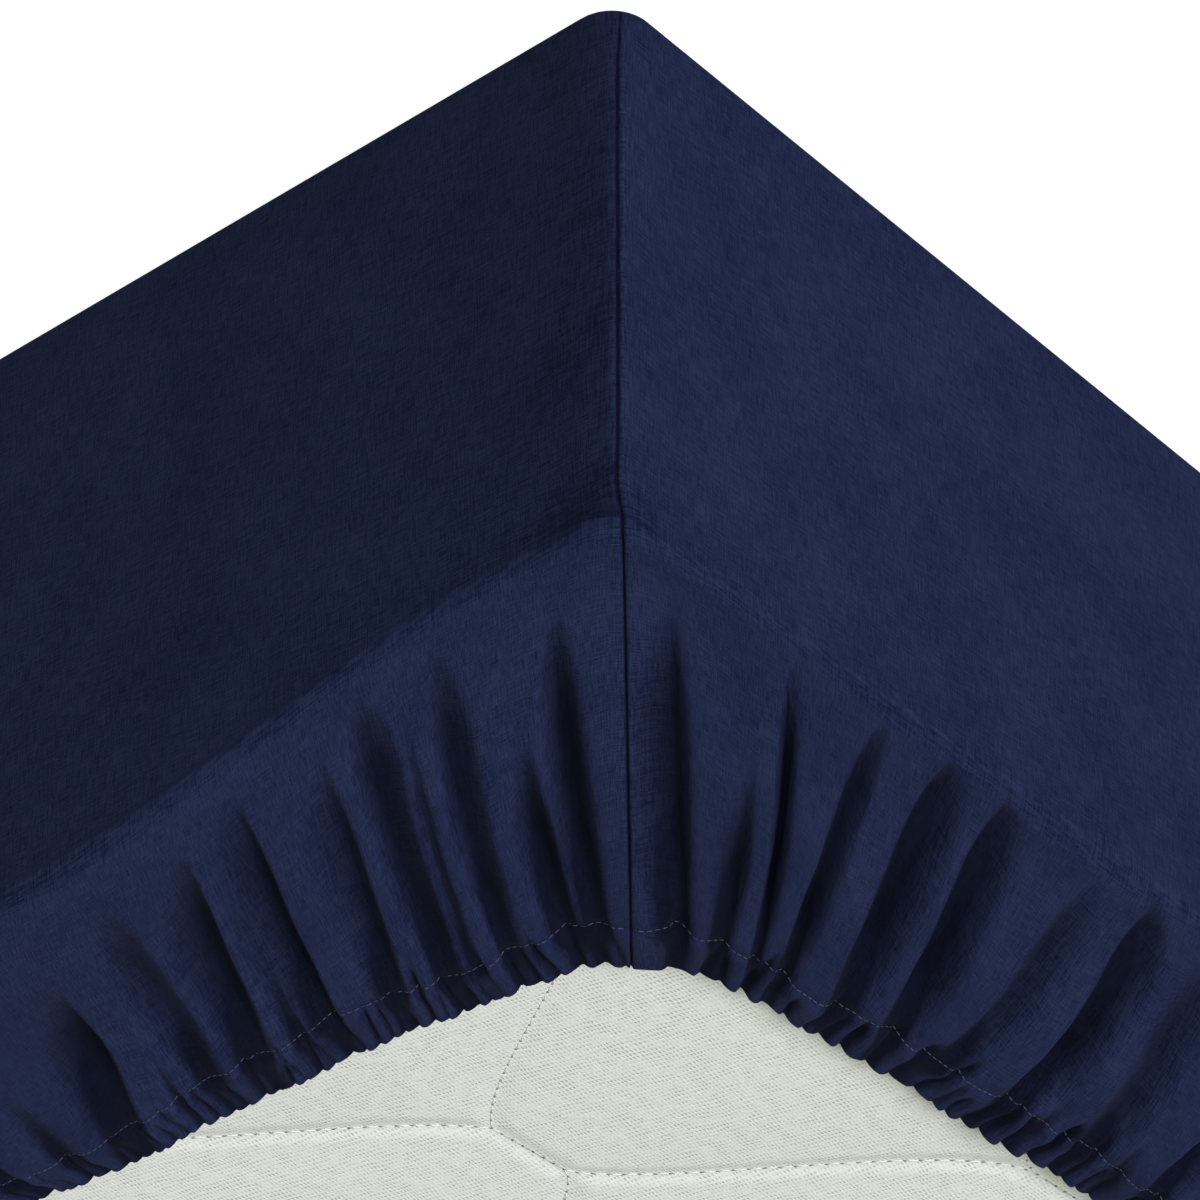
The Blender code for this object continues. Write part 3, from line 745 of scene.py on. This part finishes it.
def fan_join(lower, lower_at, upper, upper_at, total):
    """Triangles between two rings of different counts, in step with their places."""
    faces = []
    low = high = 0
    lower_at = list(lower_at) + [total]
    upper_at = list(upper_at) + [total]
    while low < len(lower) or high < len(upper):
        next_low = lower_at[low + 1] if low < len(lower) else math.inf
        next_high = upper_at[high + 1] if high < len(upper) else math.inf
        low_vert = lower[low % len(lower)]
        high_vert = upper[high % len(upper)]
        if next_high <= next_low:
            faces.append([low_vert, upper[(high + 1) % len(upper)], high_vert])
            high += 1
        else:
            faces.append([low_vert, lower[(low + 1) % len(lower)], high_vert])
            low += 1
    return faces


def placed(name, data):
    """A new object in the scene."""
    made = bpy.data.objects.new(name, data)
    bpy.context.scene.collection.objects.link(made)
    return made


def make_mesh(name, points, faces, material):
    data = bpy.data.meshes.new(name)
    data.from_pydata([tuple(point) for point in np.asarray(points).tolist()], [], faces)
    data.materials.append(material)
    data.shade_smooth()
    return placed(name, data)


def round_the_bed(corners):
    """Joins each kind of row from all corners, given as one list of kinds for a corner."""
    ordered = [[ring_order(values, corner) for values in kinds]
               for corner, kinds in enumerate(corners)]
    return [np.concatenate(kind, column_axis(kind[0])) for kind in zip(*ordered)]


def add_weave_attribute(piece, coordinates, total):
    """Thread coordinates, across and along the drop of the cloth, and the painted shade, for
    each face corner.
    """
    data = piece.data
    corner_verts = np.empty(len(data.loops), int)
    data.loops.foreach_get("vertex_index", corner_verts)
    values = coordinates[corner_verts].astype(np.float32)
    starts = np.empty(len(data.polygons), int)
    totals = np.empty(len(data.polygons), int)
    data.polygons.foreach_get("loop_start", starts)
    data.polygons.foreach_get("loop_total", totals)
    face_of = np.repeat(np.arange(len(starts)), totals)
    highest = np.maximum.reduceat(values[:, 0], starts)
    wraps = (highest[face_of] - values[:, 0]) > total / 2
    values[wraps, 0] += total
    attribute = data.attributes.new("weave", "FLOAT_VECTOR", "CORNER")
    attribute.data.foreach_set("vector", values.ravel())


def make_sheet(material):
    fine, side = [], []
    for corner in range(len(CORNERS)):
        edge, hem, on_side = corner_columns(corner)
        around = around_of(corner, edge)
        fine.append([*fine_rows(corner, edge, hem), around])
        side.append([*side_rows(corner, edge[on_side], around[on_side]), around[on_side]])
    fine, fine_drop, fine_painted_shade, fine_around = round_the_bed(fine)
    side, side_painted_shade, side_around = round_the_bed(side)

    outline = np.array([WIDTH, LENGTH])
    face = (outline - 2 * SLEEPING_FACE_INSET) / outline
    inner = side[0] * (*face, 0.0)
    points = np.concatenate([inner, side.reshape(-1, 3), fine.reshape(-1, 3)])
    side_rings = np.arange(inner.shape[0] * (len(side) + 1)).reshape(-1, inner.shape[0])
    fine_rings = np.arange(fine[..., 0].size).reshape(fine.shape[:2]) + side_rings.size
    total = len(CORNERS) * CORNER_RUN
    faces = [side_rings[0][::-1].tolist()] + stacked(side_rings)
    faces += fan_join(side_rings[-1].tolist(), side_around, fine_rings[0].tolist(),
                      fine_around, total)
    faces += stacked(fine_rings)

    # the third value of each point is its painted shade, which darkens the cloth's colour
    coordinates = np.concatenate([
        inner,
        np.stack([np.tile(side_around, len(side)), side[..., 2].ravel(),
                  side_painted_shade.ravel()], -1),
        np.stack([np.tile(fine_around, len(fine)), fine_drop.ravel(), fine_painted_shade.ravel()], -1)])
    piece = make_mesh("sheet_cloth", points, faces, material)
    add_weave_attribute(piece, coordinates, total)
    return piece


# ---------------------------------------------------------------- mattress

def quilt_swing(across):
    """1 where lines run together in the pictured stem's way, -1 in the next one's."""
    half_period = QUILT_STEM + QUILT_SWING
    run = np.abs((across + half_period) % (2 * half_period) - half_period)
    part = np.clip((run - QUILT_STEM / 2) / QUILT_SWING, 0, 1)
    sine = np.sin(math.pi * part / 2)
    return 1 - 2 * (QUILT_EASE * smoothstep(part) + (1 - QUILT_EASE) * sine)


def quilt_lines(x):
    """Places of the quilting lines along the bed, at places x across it, one row a line."""
    count = int(LENGTH / QUILT_LINE / 2) + 1
    numbers = np.arange(-count * 2, count * 2)[:, None]
    swing = quilt_swing(np.asarray(x)[None] - QUILT_AT[0])
    signs = np.where(numbers % 2 == 0, 1, -1)
    base = QUILT_AT[1] - QUILT_LINE / 2
    return base + numbers * QUILT_LINE + signs * swing * QUILT_LINE / 2


def quilt_relief(x, y):
    """How far the mattress's face is drawn down by its quilting."""
    lines = quilt_lines(x)
    slope = (quilt_lines(x + QUILT_PROBE) - quilt_lines(x - QUILT_PROBE)) / (2 * QUILT_PROBE)
    nearest = np.full((len(x), len(y)), LENGTH)
    for line, lean in zip(lines, slope):
        distance = np.abs(y[None] - line[:, None]) / np.sqrt(1 + lean[:, None] ** 2)
        nearest = np.minimum(nearest, distance)
    return (QUILT_DEPTH * valley(nearest / QUILT_WIDTH)
            + QUILT_SOFT_DEPTH * np.exp(-(nearest / QUILT_SOFT_WIDTH) ** 2))


PANEL_FINE = 0.0022
PANEL_COARSE = 0.0078
PANEL_X = (0.215, 0.490)      # the pictured part of the mattress's face, which gets the fine
PANEL_Y = (-0.810, -0.500)    # grid
MATTRESS_CORNER_STEPS = 6
MATTRESS_UNDERSIDE_TURNS = np.radians([15, 40, 65, 90])
MATTRESS_SLEEPING_TURNS = np.radians([0, 45, 90])


def make_mattress(material):
    """A closed block whose quilted face is a fine grid and whose hidden sides are plain."""
    half_x = MATTRESS_HIGH.x - MATTRESS_ROUND
    half_y = MATTRESS_HIGH.y - MATTRESS_ROUND
    x = np.concatenate(graded(-half_x, half_x, PANEL_X, PANEL_COARSE, PANEL_FINE))
    y = np.concatenate(graded(-half_y, half_y, PANEL_Y, PANEL_COARSE, PANEL_FINE))
    height = MATTRESS_TOP - quilt_relief(x, y)
    grid = np.stack([np.broadcast_to(x[:, None], height.shape),
                     np.broadcast_to(y[None], height.shape), height], -1)
    index = np.arange(height.size).reshape(height.shape)
    cells = np.stack([index[:-1, :-1], index[1:, :-1], index[1:, 1:], index[:-1, 1:]], -1)
    faces = cells.reshape(-1, 4).tolist()

    sides = [(index[:, 0], -math.pi / 2), (index[-1, :], 0.0),
             (index[::-1, -1], math.pi / 2), (index[0, ::-1], math.pi)]
    turns = math.pi / 2 * np.arange(1, MATTRESS_CORNER_STEPS) / MATTRESS_CORNER_STEPS
    border, angles = [], []
    for verts, angle in sides:
        border += [*verts, *[verts[-1]] * len(turns)]
        angles += [*[angle] * len(verts), *(angle + turns)]
    border = np.array(border)
    outward = np.stack([np.cos(angles), np.sin(angles), np.zeros(len(angles))], -1)
    rows = [(MATTRESS_ROUND - MATTRESS_UNDERSIDE_RADIUS * (1 - math.sin(turn)),
             MATTRESS_TOP - MATTRESS_UNDERSIDE_RADIUS * (1 - math.cos(turn)))
            for turn in MATTRESS_UNDERSIDE_TURNS]
    rows += [(MATTRESS_ROUND - MATTRESS_SLEEPING_RADIUS * (1 - math.cos(turn)),
              MATTRESS_LOW.z + MATTRESS_SLEEPING_RADIUS * (1 - math.sin(turn)))
             for turn in MATTRESS_SLEEPING_TURNS]
    points = [grid.reshape(-1, 3)]
    base = points[0][border] * (1, 1, 0)
    points += [base + outward * out + (0, 0, level) for out, level in rows]
    rings = height.size + np.arange(len(rows) * len(border)).reshape(len(rows), -1)
    rings = [border, *rings]
    faces += [list(dict.fromkeys(face)) for upper, lower in zip(rings, rings[1:])
              for face in quads(lower, upper)]
    faces.append(rings[-1][::-1].tolist())
    return make_mesh("mattress_ticking", np.concatenate(points), faces, material)


# ---------------------------------------------------------------- stitches

DASH_RINGS = ((0.12, 0.75), (0.5, 1.0), (0.88, 0.75))   # place along a thread, and size
DASH_TURNS = np.radians([45, 135, 225, 315])
UP = (0.0, 0.0, 1.0)
HEM_STITCH = 0.0030
HEM_STITCH_GAP = 0.0008
HEM_STITCH_LIFT = 0.00012     # height of the threads above the cloth
HEM_STITCH_FROM = 0.001       # the first stitch's distance from a side's middle
HEM_STITCH_SAMPLES = 12000
THREAD_WIDTH = 0.00036
THREAD_HEIGHT = 0.00030
QUILT_UNDER_HEM = 0.03        # how far the quilting stitches go on under the hem
QUILT_SAMPLES = 6000
QUILT_FROM = 0.002
QUILT_GAP = 0.16              # gap at each end of a quilting stitch, as a share of it
QUILT_THREAD = (0.0006, 0.0005, 0.0002)   # width, height and height above the quilting line
# painted shade at the needle holes: width, height and height above the cloth of its dark dashes
QUILT_HOLE_SHADE = (0.0013, 0.0005, 0.00012)
QUILT_HOLE_SHADE_HALF = 0.0008


def dashes(name, starts, ends, width, height, material):
    """One mesh of short threads, each a slim body of three rings and two tips."""
    along = ends - starts
    length = np.linalg.norm(along, axis=1, keepdims=True)
    along = along / length
    side = np.cross(along, np.broadcast_to(UP, along.shape))
    side = side / np.linalg.norm(side, axis=1, keepdims=True)
    up = np.cross(side, along)
    layers = [starts]
    for part, size in DASH_RINGS:
        centre = starts + along * length * part
        for angle in DASH_TURNS:
            layers.append(centre + side * math.cos(angle) * width / 2 * size
                          + up * math.sin(angle) * height / 2 * size)
    layers.append(ends)
    points = np.stack(layers, 1).reshape(-1, 3)
    pattern = []
    count = len(DASH_TURNS)
    tip = len(layers) - 1
    for turn in range(count):
        following = (turn + 1) % count
        pattern.append([0, 1 + following, 1 + turn])
        last = 1 + count * (len(DASH_RINGS) - 1)
        pattern.append([tip, last + turn, last + following])
        for ring in range(len(DASH_RINGS) - 1):
            here = 1 + count * ring
            pattern.append([here + turn, here + following, here + count + following])
            pattern.append([here + turn, here + count + following, here + count + turn])
    first = len(layers) * np.arange(len(starts))[:, None, None]
    faces = (np.array(pattern)[None] + first).reshape(-1, 3)
    return make_mesh(name, points, faces.tolist(), material)


def stitch_row(line, first, step, length):
    """Start and end points of the stitches along a line: a stitch a step, of some length."""
    run = np.linalg.norm(np.diff(line, axis=0), axis=1)
    run = np.concatenate([[0], np.cumsum(run)])
    begins = np.arange(first, run[-1] - step, step)
    return [np.stack([np.interp(places, run, line[:, axis]) for axis in range(3)], -1)
            for places in (begins, begins + length)]


def surface_points(corner, edge, hem, share):
    along, across, height = cloth_place(corner, edge, hem, share)[:3]
    return np.stack([*to_world(corner, along, across), height], -1)


def make_hem_stitches(material):
    """Threads laid along the folds of the stitch line."""
    rows = []
    for corner in range(len(CORNERS)):
        edge, hem = corner_columns(corner)[:2]
        dense_hem = np.linspace(hem[0], hem[-1], HEM_STITCH_SAMPLES)
        dense_edge = np.interp(dense_hem, hem, edge)
        line = surface_points(corner, dense_edge, dense_hem, stitch_share(dense_hem))
        rows.append(stitch_row(line + np.array(UP) * HEM_STITCH_LIFT, HEM_STITCH_FROM,
                               HEM_STITCH, HEM_STITCH - HEM_STITCH_GAP))
    starts, ends = map(np.concatenate, zip(*rows))
    return dashes("hem_stitches", starts, ends, THREAD_WIDTH, THREAD_HEIGHT, material)


def make_quilt_stitches(thread, hole_shade):
    """Threads of the quilting and dashes of painted shade at its needle holes, inside the hem's
    opening.
    """
    reach_x = WIDTH / 2 - HEM_IN_LONG + QUILT_UNDER_HEM
    reach_y = LENGTH / 2 - HEM_IN_SHORT + QUILT_UNDER_HEM
    x = np.linspace(-reach_x, reach_x, QUILT_SAMPLES)
    bottom = MATTRESS_TOP - QUILT_DEPTH - QUILT_SOFT_DEPTH
    rows = []
    for y in quilt_lines(x):
        line = np.column_stack([x, y, np.full_like(x, bottom)])
        row = np.array(stitch_row(line, QUILT_FROM, QUILT_STITCH, QUILT_STITCH))
        rows.append(row[:, (np.abs(row[..., 1]) < reach_y).all(0)])
    begins, ends = np.concatenate(rows, 1)
    stitch = ends - begins
    width, height, lift = QUILT_THREAD
    up = np.array(UP) * lift
    threads = dashes("quilting_thread", begins + stitch * QUILT_GAP + up,
                     ends - stitch * QUILT_GAP + up, width, height, thread)
    # dark dashes of painted shade at the needle holes
    width, height, lift = QUILT_HOLE_SHADE
    middle = begins + np.array(UP) * lift
    half = stitch / np.linalg.norm(stitch, axis=1, keepdims=True) * QUILT_HOLE_SHADE_HALF
    hole_shades = dashes("quilting_hole_shade", middle - half, middle + half, width, height, hole_shade)
    return threads, hole_shades


# ---------------------------------------------------------------- materials

class Graph:
    """Small helper that adds nodes to a material and joins them.

    Inputs are given by their names, with _ for a space.
    """

    def __init__(self, name):
        self.material = bpy.data.materials.new(name)
        self.material.use_nodes = True
        self.tree = self.material.node_tree
        self.shader = self.tree.nodes["Principled BSDF"]

    def put(self, socket, value):
        if isinstance(value, bpy.types.NodeSocket):
            self.tree.links.new(value, socket)
        else:
            socket.default_value = value

    def fill(self, node, inputs):
        for key, value in inputs.items():
            self.put(node.inputs[key.replace("_", " ")], value)

    def node(self, kind, settings=None, **inputs):
        made = self.tree.nodes.new(kind)
        for key, value in (settings or {}).items():
            setattr(made, key, value)
        self.fill(made, inputs)
        return made

    def worked(self, kind, operation, *values):
        made = self.node(kind, {"operation": operation})
        for socket, value in zip(made.inputs, values):
            self.put(socket, value)
        return made.outputs[0]

    def math(self, operation, *values):
        return self.worked("ShaderNodeMath", operation, *values)

    def scaled(self, vector, scale):
        return self.worked("ShaderNodeVectorMath", "MULTIPLY", vector, scale)

    def noise(self, vector, size, detail=1.0):
        """Noise of a size in metres, or one size an axis."""
        size = size if isinstance(size, tuple) else (size, size, size)
        scale = tuple(1 / metres for metres in size)
        return self.node("ShaderNodeTexNoise", Vector=self.scaled(vector, scale), Scale=1.0,
                         Detail=detail)

    def wave(self, value, pitch):
        return self.math("SINE", self.math("MULTIPLY", value, 2 * math.pi / pitch))

    def remap(self, value, low, high, to_low, to_high):
        return self.node("ShaderNodeMapRange", Value=value, From_Min=low, From_Max=high,
                         To_Min=to_low, To_Max=to_high).outputs[0]

    def mix(self, factor, first, second):
        made = self.node("ShaderNodeMix", {"data_type": "RGBA"}, Factor=factor)
        self.put(made.inputs[6], first)
        self.put(made.inputs[7], second)
        return made.outputs[2]

    def bump(self, height, distance, strength):
        return self.node("ShaderNodeBump", Height=height, Distance=distance,
                         Strength=strength).outputs[0]

    def finished(self, **inputs):
        self.fill(self.shader, inputs)
        return self.material


NAVY_DARK = (0.0044, 0.0079, 0.0312, 1.0)
NAVY = (0.0086, 0.0141, 0.0480, 1.0)
NAVY_PALE = (0.0213, 0.0298, 0.0850, 1.0)
NAVY_VARIED = 0.85            # share of the slubs' colours in the plain one
NAVY_BLOOM = (0.45, 0.5, 0.8, 1.0)
NAVY_PITCH = 0.00036          # of the weave
SLUB_LENGTH = 0.009
SLUB_WIDTH = 0.00045
SPECKLE_SIZE = 0.0007
CLOUD_SIZE = 0.04
SPECKLE_SHARE = 0.6           # strengths of those two beside the slubs
CLOUD_SHARE = 0.35
WEAVE_SHARE = 0.25            # height of the weave beside the slubs
SLUB_RANGE = (1.25, 1.70)
PAINTED_SHADE_RANGE = (0.10, 0.90)   # painted shade over which the cloth's colour darkens
PAINTED_SHADE_STRENGTH = 0.95           # how far the painted shade darkens it deep in a groove
# colour that the painted shade multiplies the cloth's colour by
PAINTED_SHADE_TINT = (0.17, 0.17, 0.19)
NAVY_BUMP = (0.00012, 0.8)    # height of slubs and weave in metres, and strength


def navy_cotton():
    """Plain-weave cotton: slubs along both threads, a fine weave and a faint bloom, its colour
    darkened by painted shade.
    """
    graph = Graph("navy_cotton")
    weave = graph.node("ShaderNodeAttribute", {"attribute_name": "weave"}).outputs["Vector"]
    slubs = graph.math("ADD", *(graph.noise(weave, (*size, 1.0), 2.0).outputs["Fac"]
                                for size in ((SLUB_WIDTH, SLUB_LENGTH),
                                             (SLUB_LENGTH, SLUB_WIDTH))))
    for size, detail, share in ((SPECKLE_SIZE, 1.0, SPECKLE_SHARE),
                                (CLOUD_SIZE, 2.0, CLOUD_SHARE)):
        cloudy = graph.noise(weave, (size, size, 1.0), detail).outputs["Fac"]
        slubs = graph.math("ADD", slubs, graph.math("MULTIPLY", cloudy, share))
    varied = graph.mix(graph.remap(slubs, *SLUB_RANGE, 0.0, 1.0), NAVY_DARK, NAVY_PALE)
    colour = graph.mix(NAVY_VARIED, NAVY, varied)
    split = graph.node("ShaderNodeSeparateXYZ", Vector=weave).outputs
    threads = graph.math("MULTIPLY", *(graph.wave(split[axis], NAVY_PITCH) for axis in "XY"))
    height = graph.math("ADD", graph.math("MULTIPLY", threads, WEAVE_SHARE), slubs)
    # painted shade: the colour darkened by the shade carried in the attribute's third value
    shadow = graph.remap(split["Z"], *PAINTED_SHADE_RANGE, 0.0, PAINTED_SHADE_STRENGTH)
    colour = graph.mix(shadow, colour, graph.scaled(colour, PAINTED_SHADE_TINT))
    return graph.finished(Base_Color=colour, Normal=graph.bump(height, *NAVY_BUMP),
                          Roughness=0.88, Specular_IOR_Level=0.05, Sheen_Weight=0.015,
                          Sheen_Roughness=0.5, Sheen_Tint=NAVY_BLOOM)


TICKING = (0.590, 0.618, 0.625, 1.0)
TICKING_GAP = (0.390, 0.420, 0.410, 1.0)
TICKING_FLECK = (0.9, 0.92, 0.9, 1.0)
TICKING_PITCH = {"X": 0.00270, "Y": 0.00160}
TICKING_TURN = 0.20           # of the weave, in radians
TICKING_WANDER = (0.004, 0.004, 0.0)   # how far its threads waver
WANDER_SIZE = 1 / 60          # size of these wavers, in metres
PATCH_SIZE = 1 / 160          # and of the patches of plainer and darker gaps
PATCH_RANGE = (0.35, 0.65, 0.25, 1.0)
FLECK_SIZE = 1 / 900
FLECK_RANGE = (0.3, 0.7, 0.0, 0.25)
FLECK_SHARE = 0.4             # height of the flecks beside the gaps
TICKING_BUMP = (0.0004, 0.7)


def ticking():
    """Open plain weave: two sets of wavering threads with darker gaps between them."""
    graph = Graph("ticking")
    place = graph.node("ShaderNodeNewGeometry").outputs["Position"]
    drift = graph.noise(place, WANDER_SIZE, 2.0).outputs["Color"]
    moved = graph.worked("ShaderNodeVectorMath", "MULTIPLY_ADD", drift, TICKING_WANDER, place)
    turned = graph.node("ShaderNodeVectorRotate", Vector=moved, Angle=TICKING_TURN).outputs[0]
    split = graph.node("ShaderNodeSeparateXYZ", Vector=turned).outputs
    gaps = graph.math("MULTIPLY", *(graph.remap(graph.wave(split[axis], pitch),
                                                -1.0, 1.0, 0.0, 1.0)
                                    for axis, pitch in TICKING_PITCH.items()))
    patch = graph.noise(place, PATCH_SIZE, 2.0).outputs["Fac"]
    fleck = graph.noise(place, FLECK_SIZE).outputs["Fac"]
    gaps = graph.math("MULTIPLY", gaps, graph.remap(patch, *PATCH_RANGE))
    colour = graph.mix(gaps, TICKING, TICKING_GAP)
    colour = graph.mix(graph.remap(fleck, *FLECK_RANGE), colour, TICKING_FLECK)
    height = graph.math("SUBTRACT", graph.math("MULTIPLY", fleck, FLECK_SHARE), gaps)
    return graph.finished(Base_Color=colour, Normal=graph.bump(height, *TICKING_BUMP),
                          Roughness=0.92, Specular_IOR_Level=0.15)


THREAD_TURN = 1 / 2200        # size of the noise along a thread's turns
THREAD_RANGE = (0.3, 0.7, 0.0, 1.0)
THREAD_BUMP = (0.0001, 0.6)
# the hem thread's navy, and a pale colour on its turns that is a painted glint of the thread
HEM_THREAD_AND_GLINT_COLOURS = (0.020, 0.028, 0.065, 1.0), (0.105, 0.122, 0.190, 1.0)
QUILTING_COLOURS = (0.62, 0.64, 0.62, 1.0), (0.80, 0.82, 0.80, 1.0)
# painted shade at the needle holes of the quilting
NEEDLE_HOLE_SHADE_COLOURS = (0.16, 0.17, 0.16, 1.0), (0.30, 0.31, 0.30, 1.0)


def thread(name, colour, pale):
    """Twisted thread: a fine noise along its turns."""
    graph = Graph(name)
    place = graph.node("ShaderNodeNewGeometry").outputs["Position"]
    turns = graph.noise(place, THREAD_TURN, 2.0).outputs["Fac"]
    shade = graph.mix(graph.remap(turns, *THREAD_RANGE), colour, pale)
    return graph.finished(Base_Color=shade, Normal=graph.bump(turns, *THREAD_BUMP),
                          Roughness=0.6, Specular_IOR_Level=0.3)


# ---------------------------------------------------------------- studio

CAMERA_AT = Vector((1.56165846, -1.69667525, 1.09132985))
CAMERA_RIGHT = Vector((-0.64795537, -0.76167831, 0.0))
CAMERA_DOWN = Vector((-0.44695573, 0.38022267, 0.80972915))
CAMERA_LENS = 140.7496        # on a sensor 36 mm wide

AMBIENT = 0.15
KEY = 1.26
KEY_AZIMUTH = 20.0            # degrees from the short side's normal towards the long side
KEY_ELEVATION = 36.5
SUN_ANGLE = 34.0              # how wide both lights are seen, in degrees
FILL = 0.22                   # weak high light from beyond the long side
FILL_AZIMUTH = 110.0
FILL_ELEVATION = 55.0
FILL_COLOUR = (1.0, 0.96, 0.50)
FLOOR_HALF = 12.0
FLOOR_DROP = 0.0006           # the floor's distance below the part


def add_camera():
    data = bpy.data.cameras.new("camera")
    data.lens = CAMERA_LENS
    data.sensor_width = 36.0
    data.clip_start = 0.05
    camera = placed("camera", data)
    forward = CAMERA_RIGHT.cross(-CAMERA_DOWN)
    rotation = Matrix((CAMERA_RIGHT, -CAMERA_DOWN, forward)).transposed()
    camera.matrix_world = Matrix.Translation(CAMERA_AT) @ rotation.to_4x4()
    bpy.context.scene.camera = camera


def add_sun(name, strength, azimuth, elevation, colour):
    """A wide soft light, its azimuth from the short side's normal towards the long side's."""
    data = bpy.data.lights.new(name, "SUN")
    data.energy = strength * math.pi
    data.color = colour
    data.angle = math.radians(SUN_ANGLE)
    azimuth, elevation = math.radians(azimuth), math.radians(elevation)
    to_light = Vector((math.sin(azimuth) * math.cos(elevation),
                       -math.cos(azimuth) * math.cos(elevation),
                       math.sin(elevation)))
    placed(name, data).rotation_euler = to_light.to_track_quat("Z", "Y").to_euler()


def add_lights():
    world = bpy.data.worlds.new("studio")
    world.use_nodes = True
    background = world.node_tree.nodes["Background"]
    background.inputs["Color"].default_value = (1.0, 1.0, 1.0, 1.0)
    background.inputs["Strength"].default_value = AMBIENT
    bpy.context.scene.world = world
    add_sun("key", KEY, KEY_AZIMUTH, KEY_ELEVATION, (1.0, 1.0, 1.0))
    add_sun("fill", FILL, FILL_AZIMUTH, FILL_ELEVATION, FILL_COLOUR)


def add_floor():
    material = Graph("studio_floor").finished(
        Base_Color=(0.3, 0.3, 0.3, 1.0), Roughness=1.0, Specular_IOR_Level=0.0,
        Emission_Color=(1.0, 1.0, 1.0, 1.0), Emission_Strength=0.8)
    corners = [(x * FLOOR_HALF, y * FLOOR_HALF, -FLOOR_DROP)
               for x, y in ((-1, -1), (1, -1), (1, 1), (-1, 1))]
    floor = make_mesh("floor", corners, [[0, 1, 2, 3]], material)
    floor.visible_diffuse = False
    floor.visible_glossy = False


# ---------------------------------------------------------------- putting it together

def main():
    bpy.context.scene.view_settings.view_transform = "Standard"
    add_camera()
    add_lights()
    add_floor()

    sheet = make_sheet(navy_cotton())
    mattress = make_mattress(ticking())
    hem_thread_and_glint = make_hem_stitches(thread("hem_thread_and_glint", *HEM_THREAD_AND_GLINT_COLOURS))
    quilt_thread, quilt_hole_shades = make_quilt_stitches(
        thread("quilting_cotton", *QUILTING_COLOURS),
        thread("quilting_shadow", *NEEDLE_HOLE_SHADE_COLOURS))

    for piece in (sheet, mattress, hem_thread_and_glint, quilt_thread, quilt_hole_shades):
        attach(piece, "root")
    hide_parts("fitted_sheet")
    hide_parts("mattress")

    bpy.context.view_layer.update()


main()
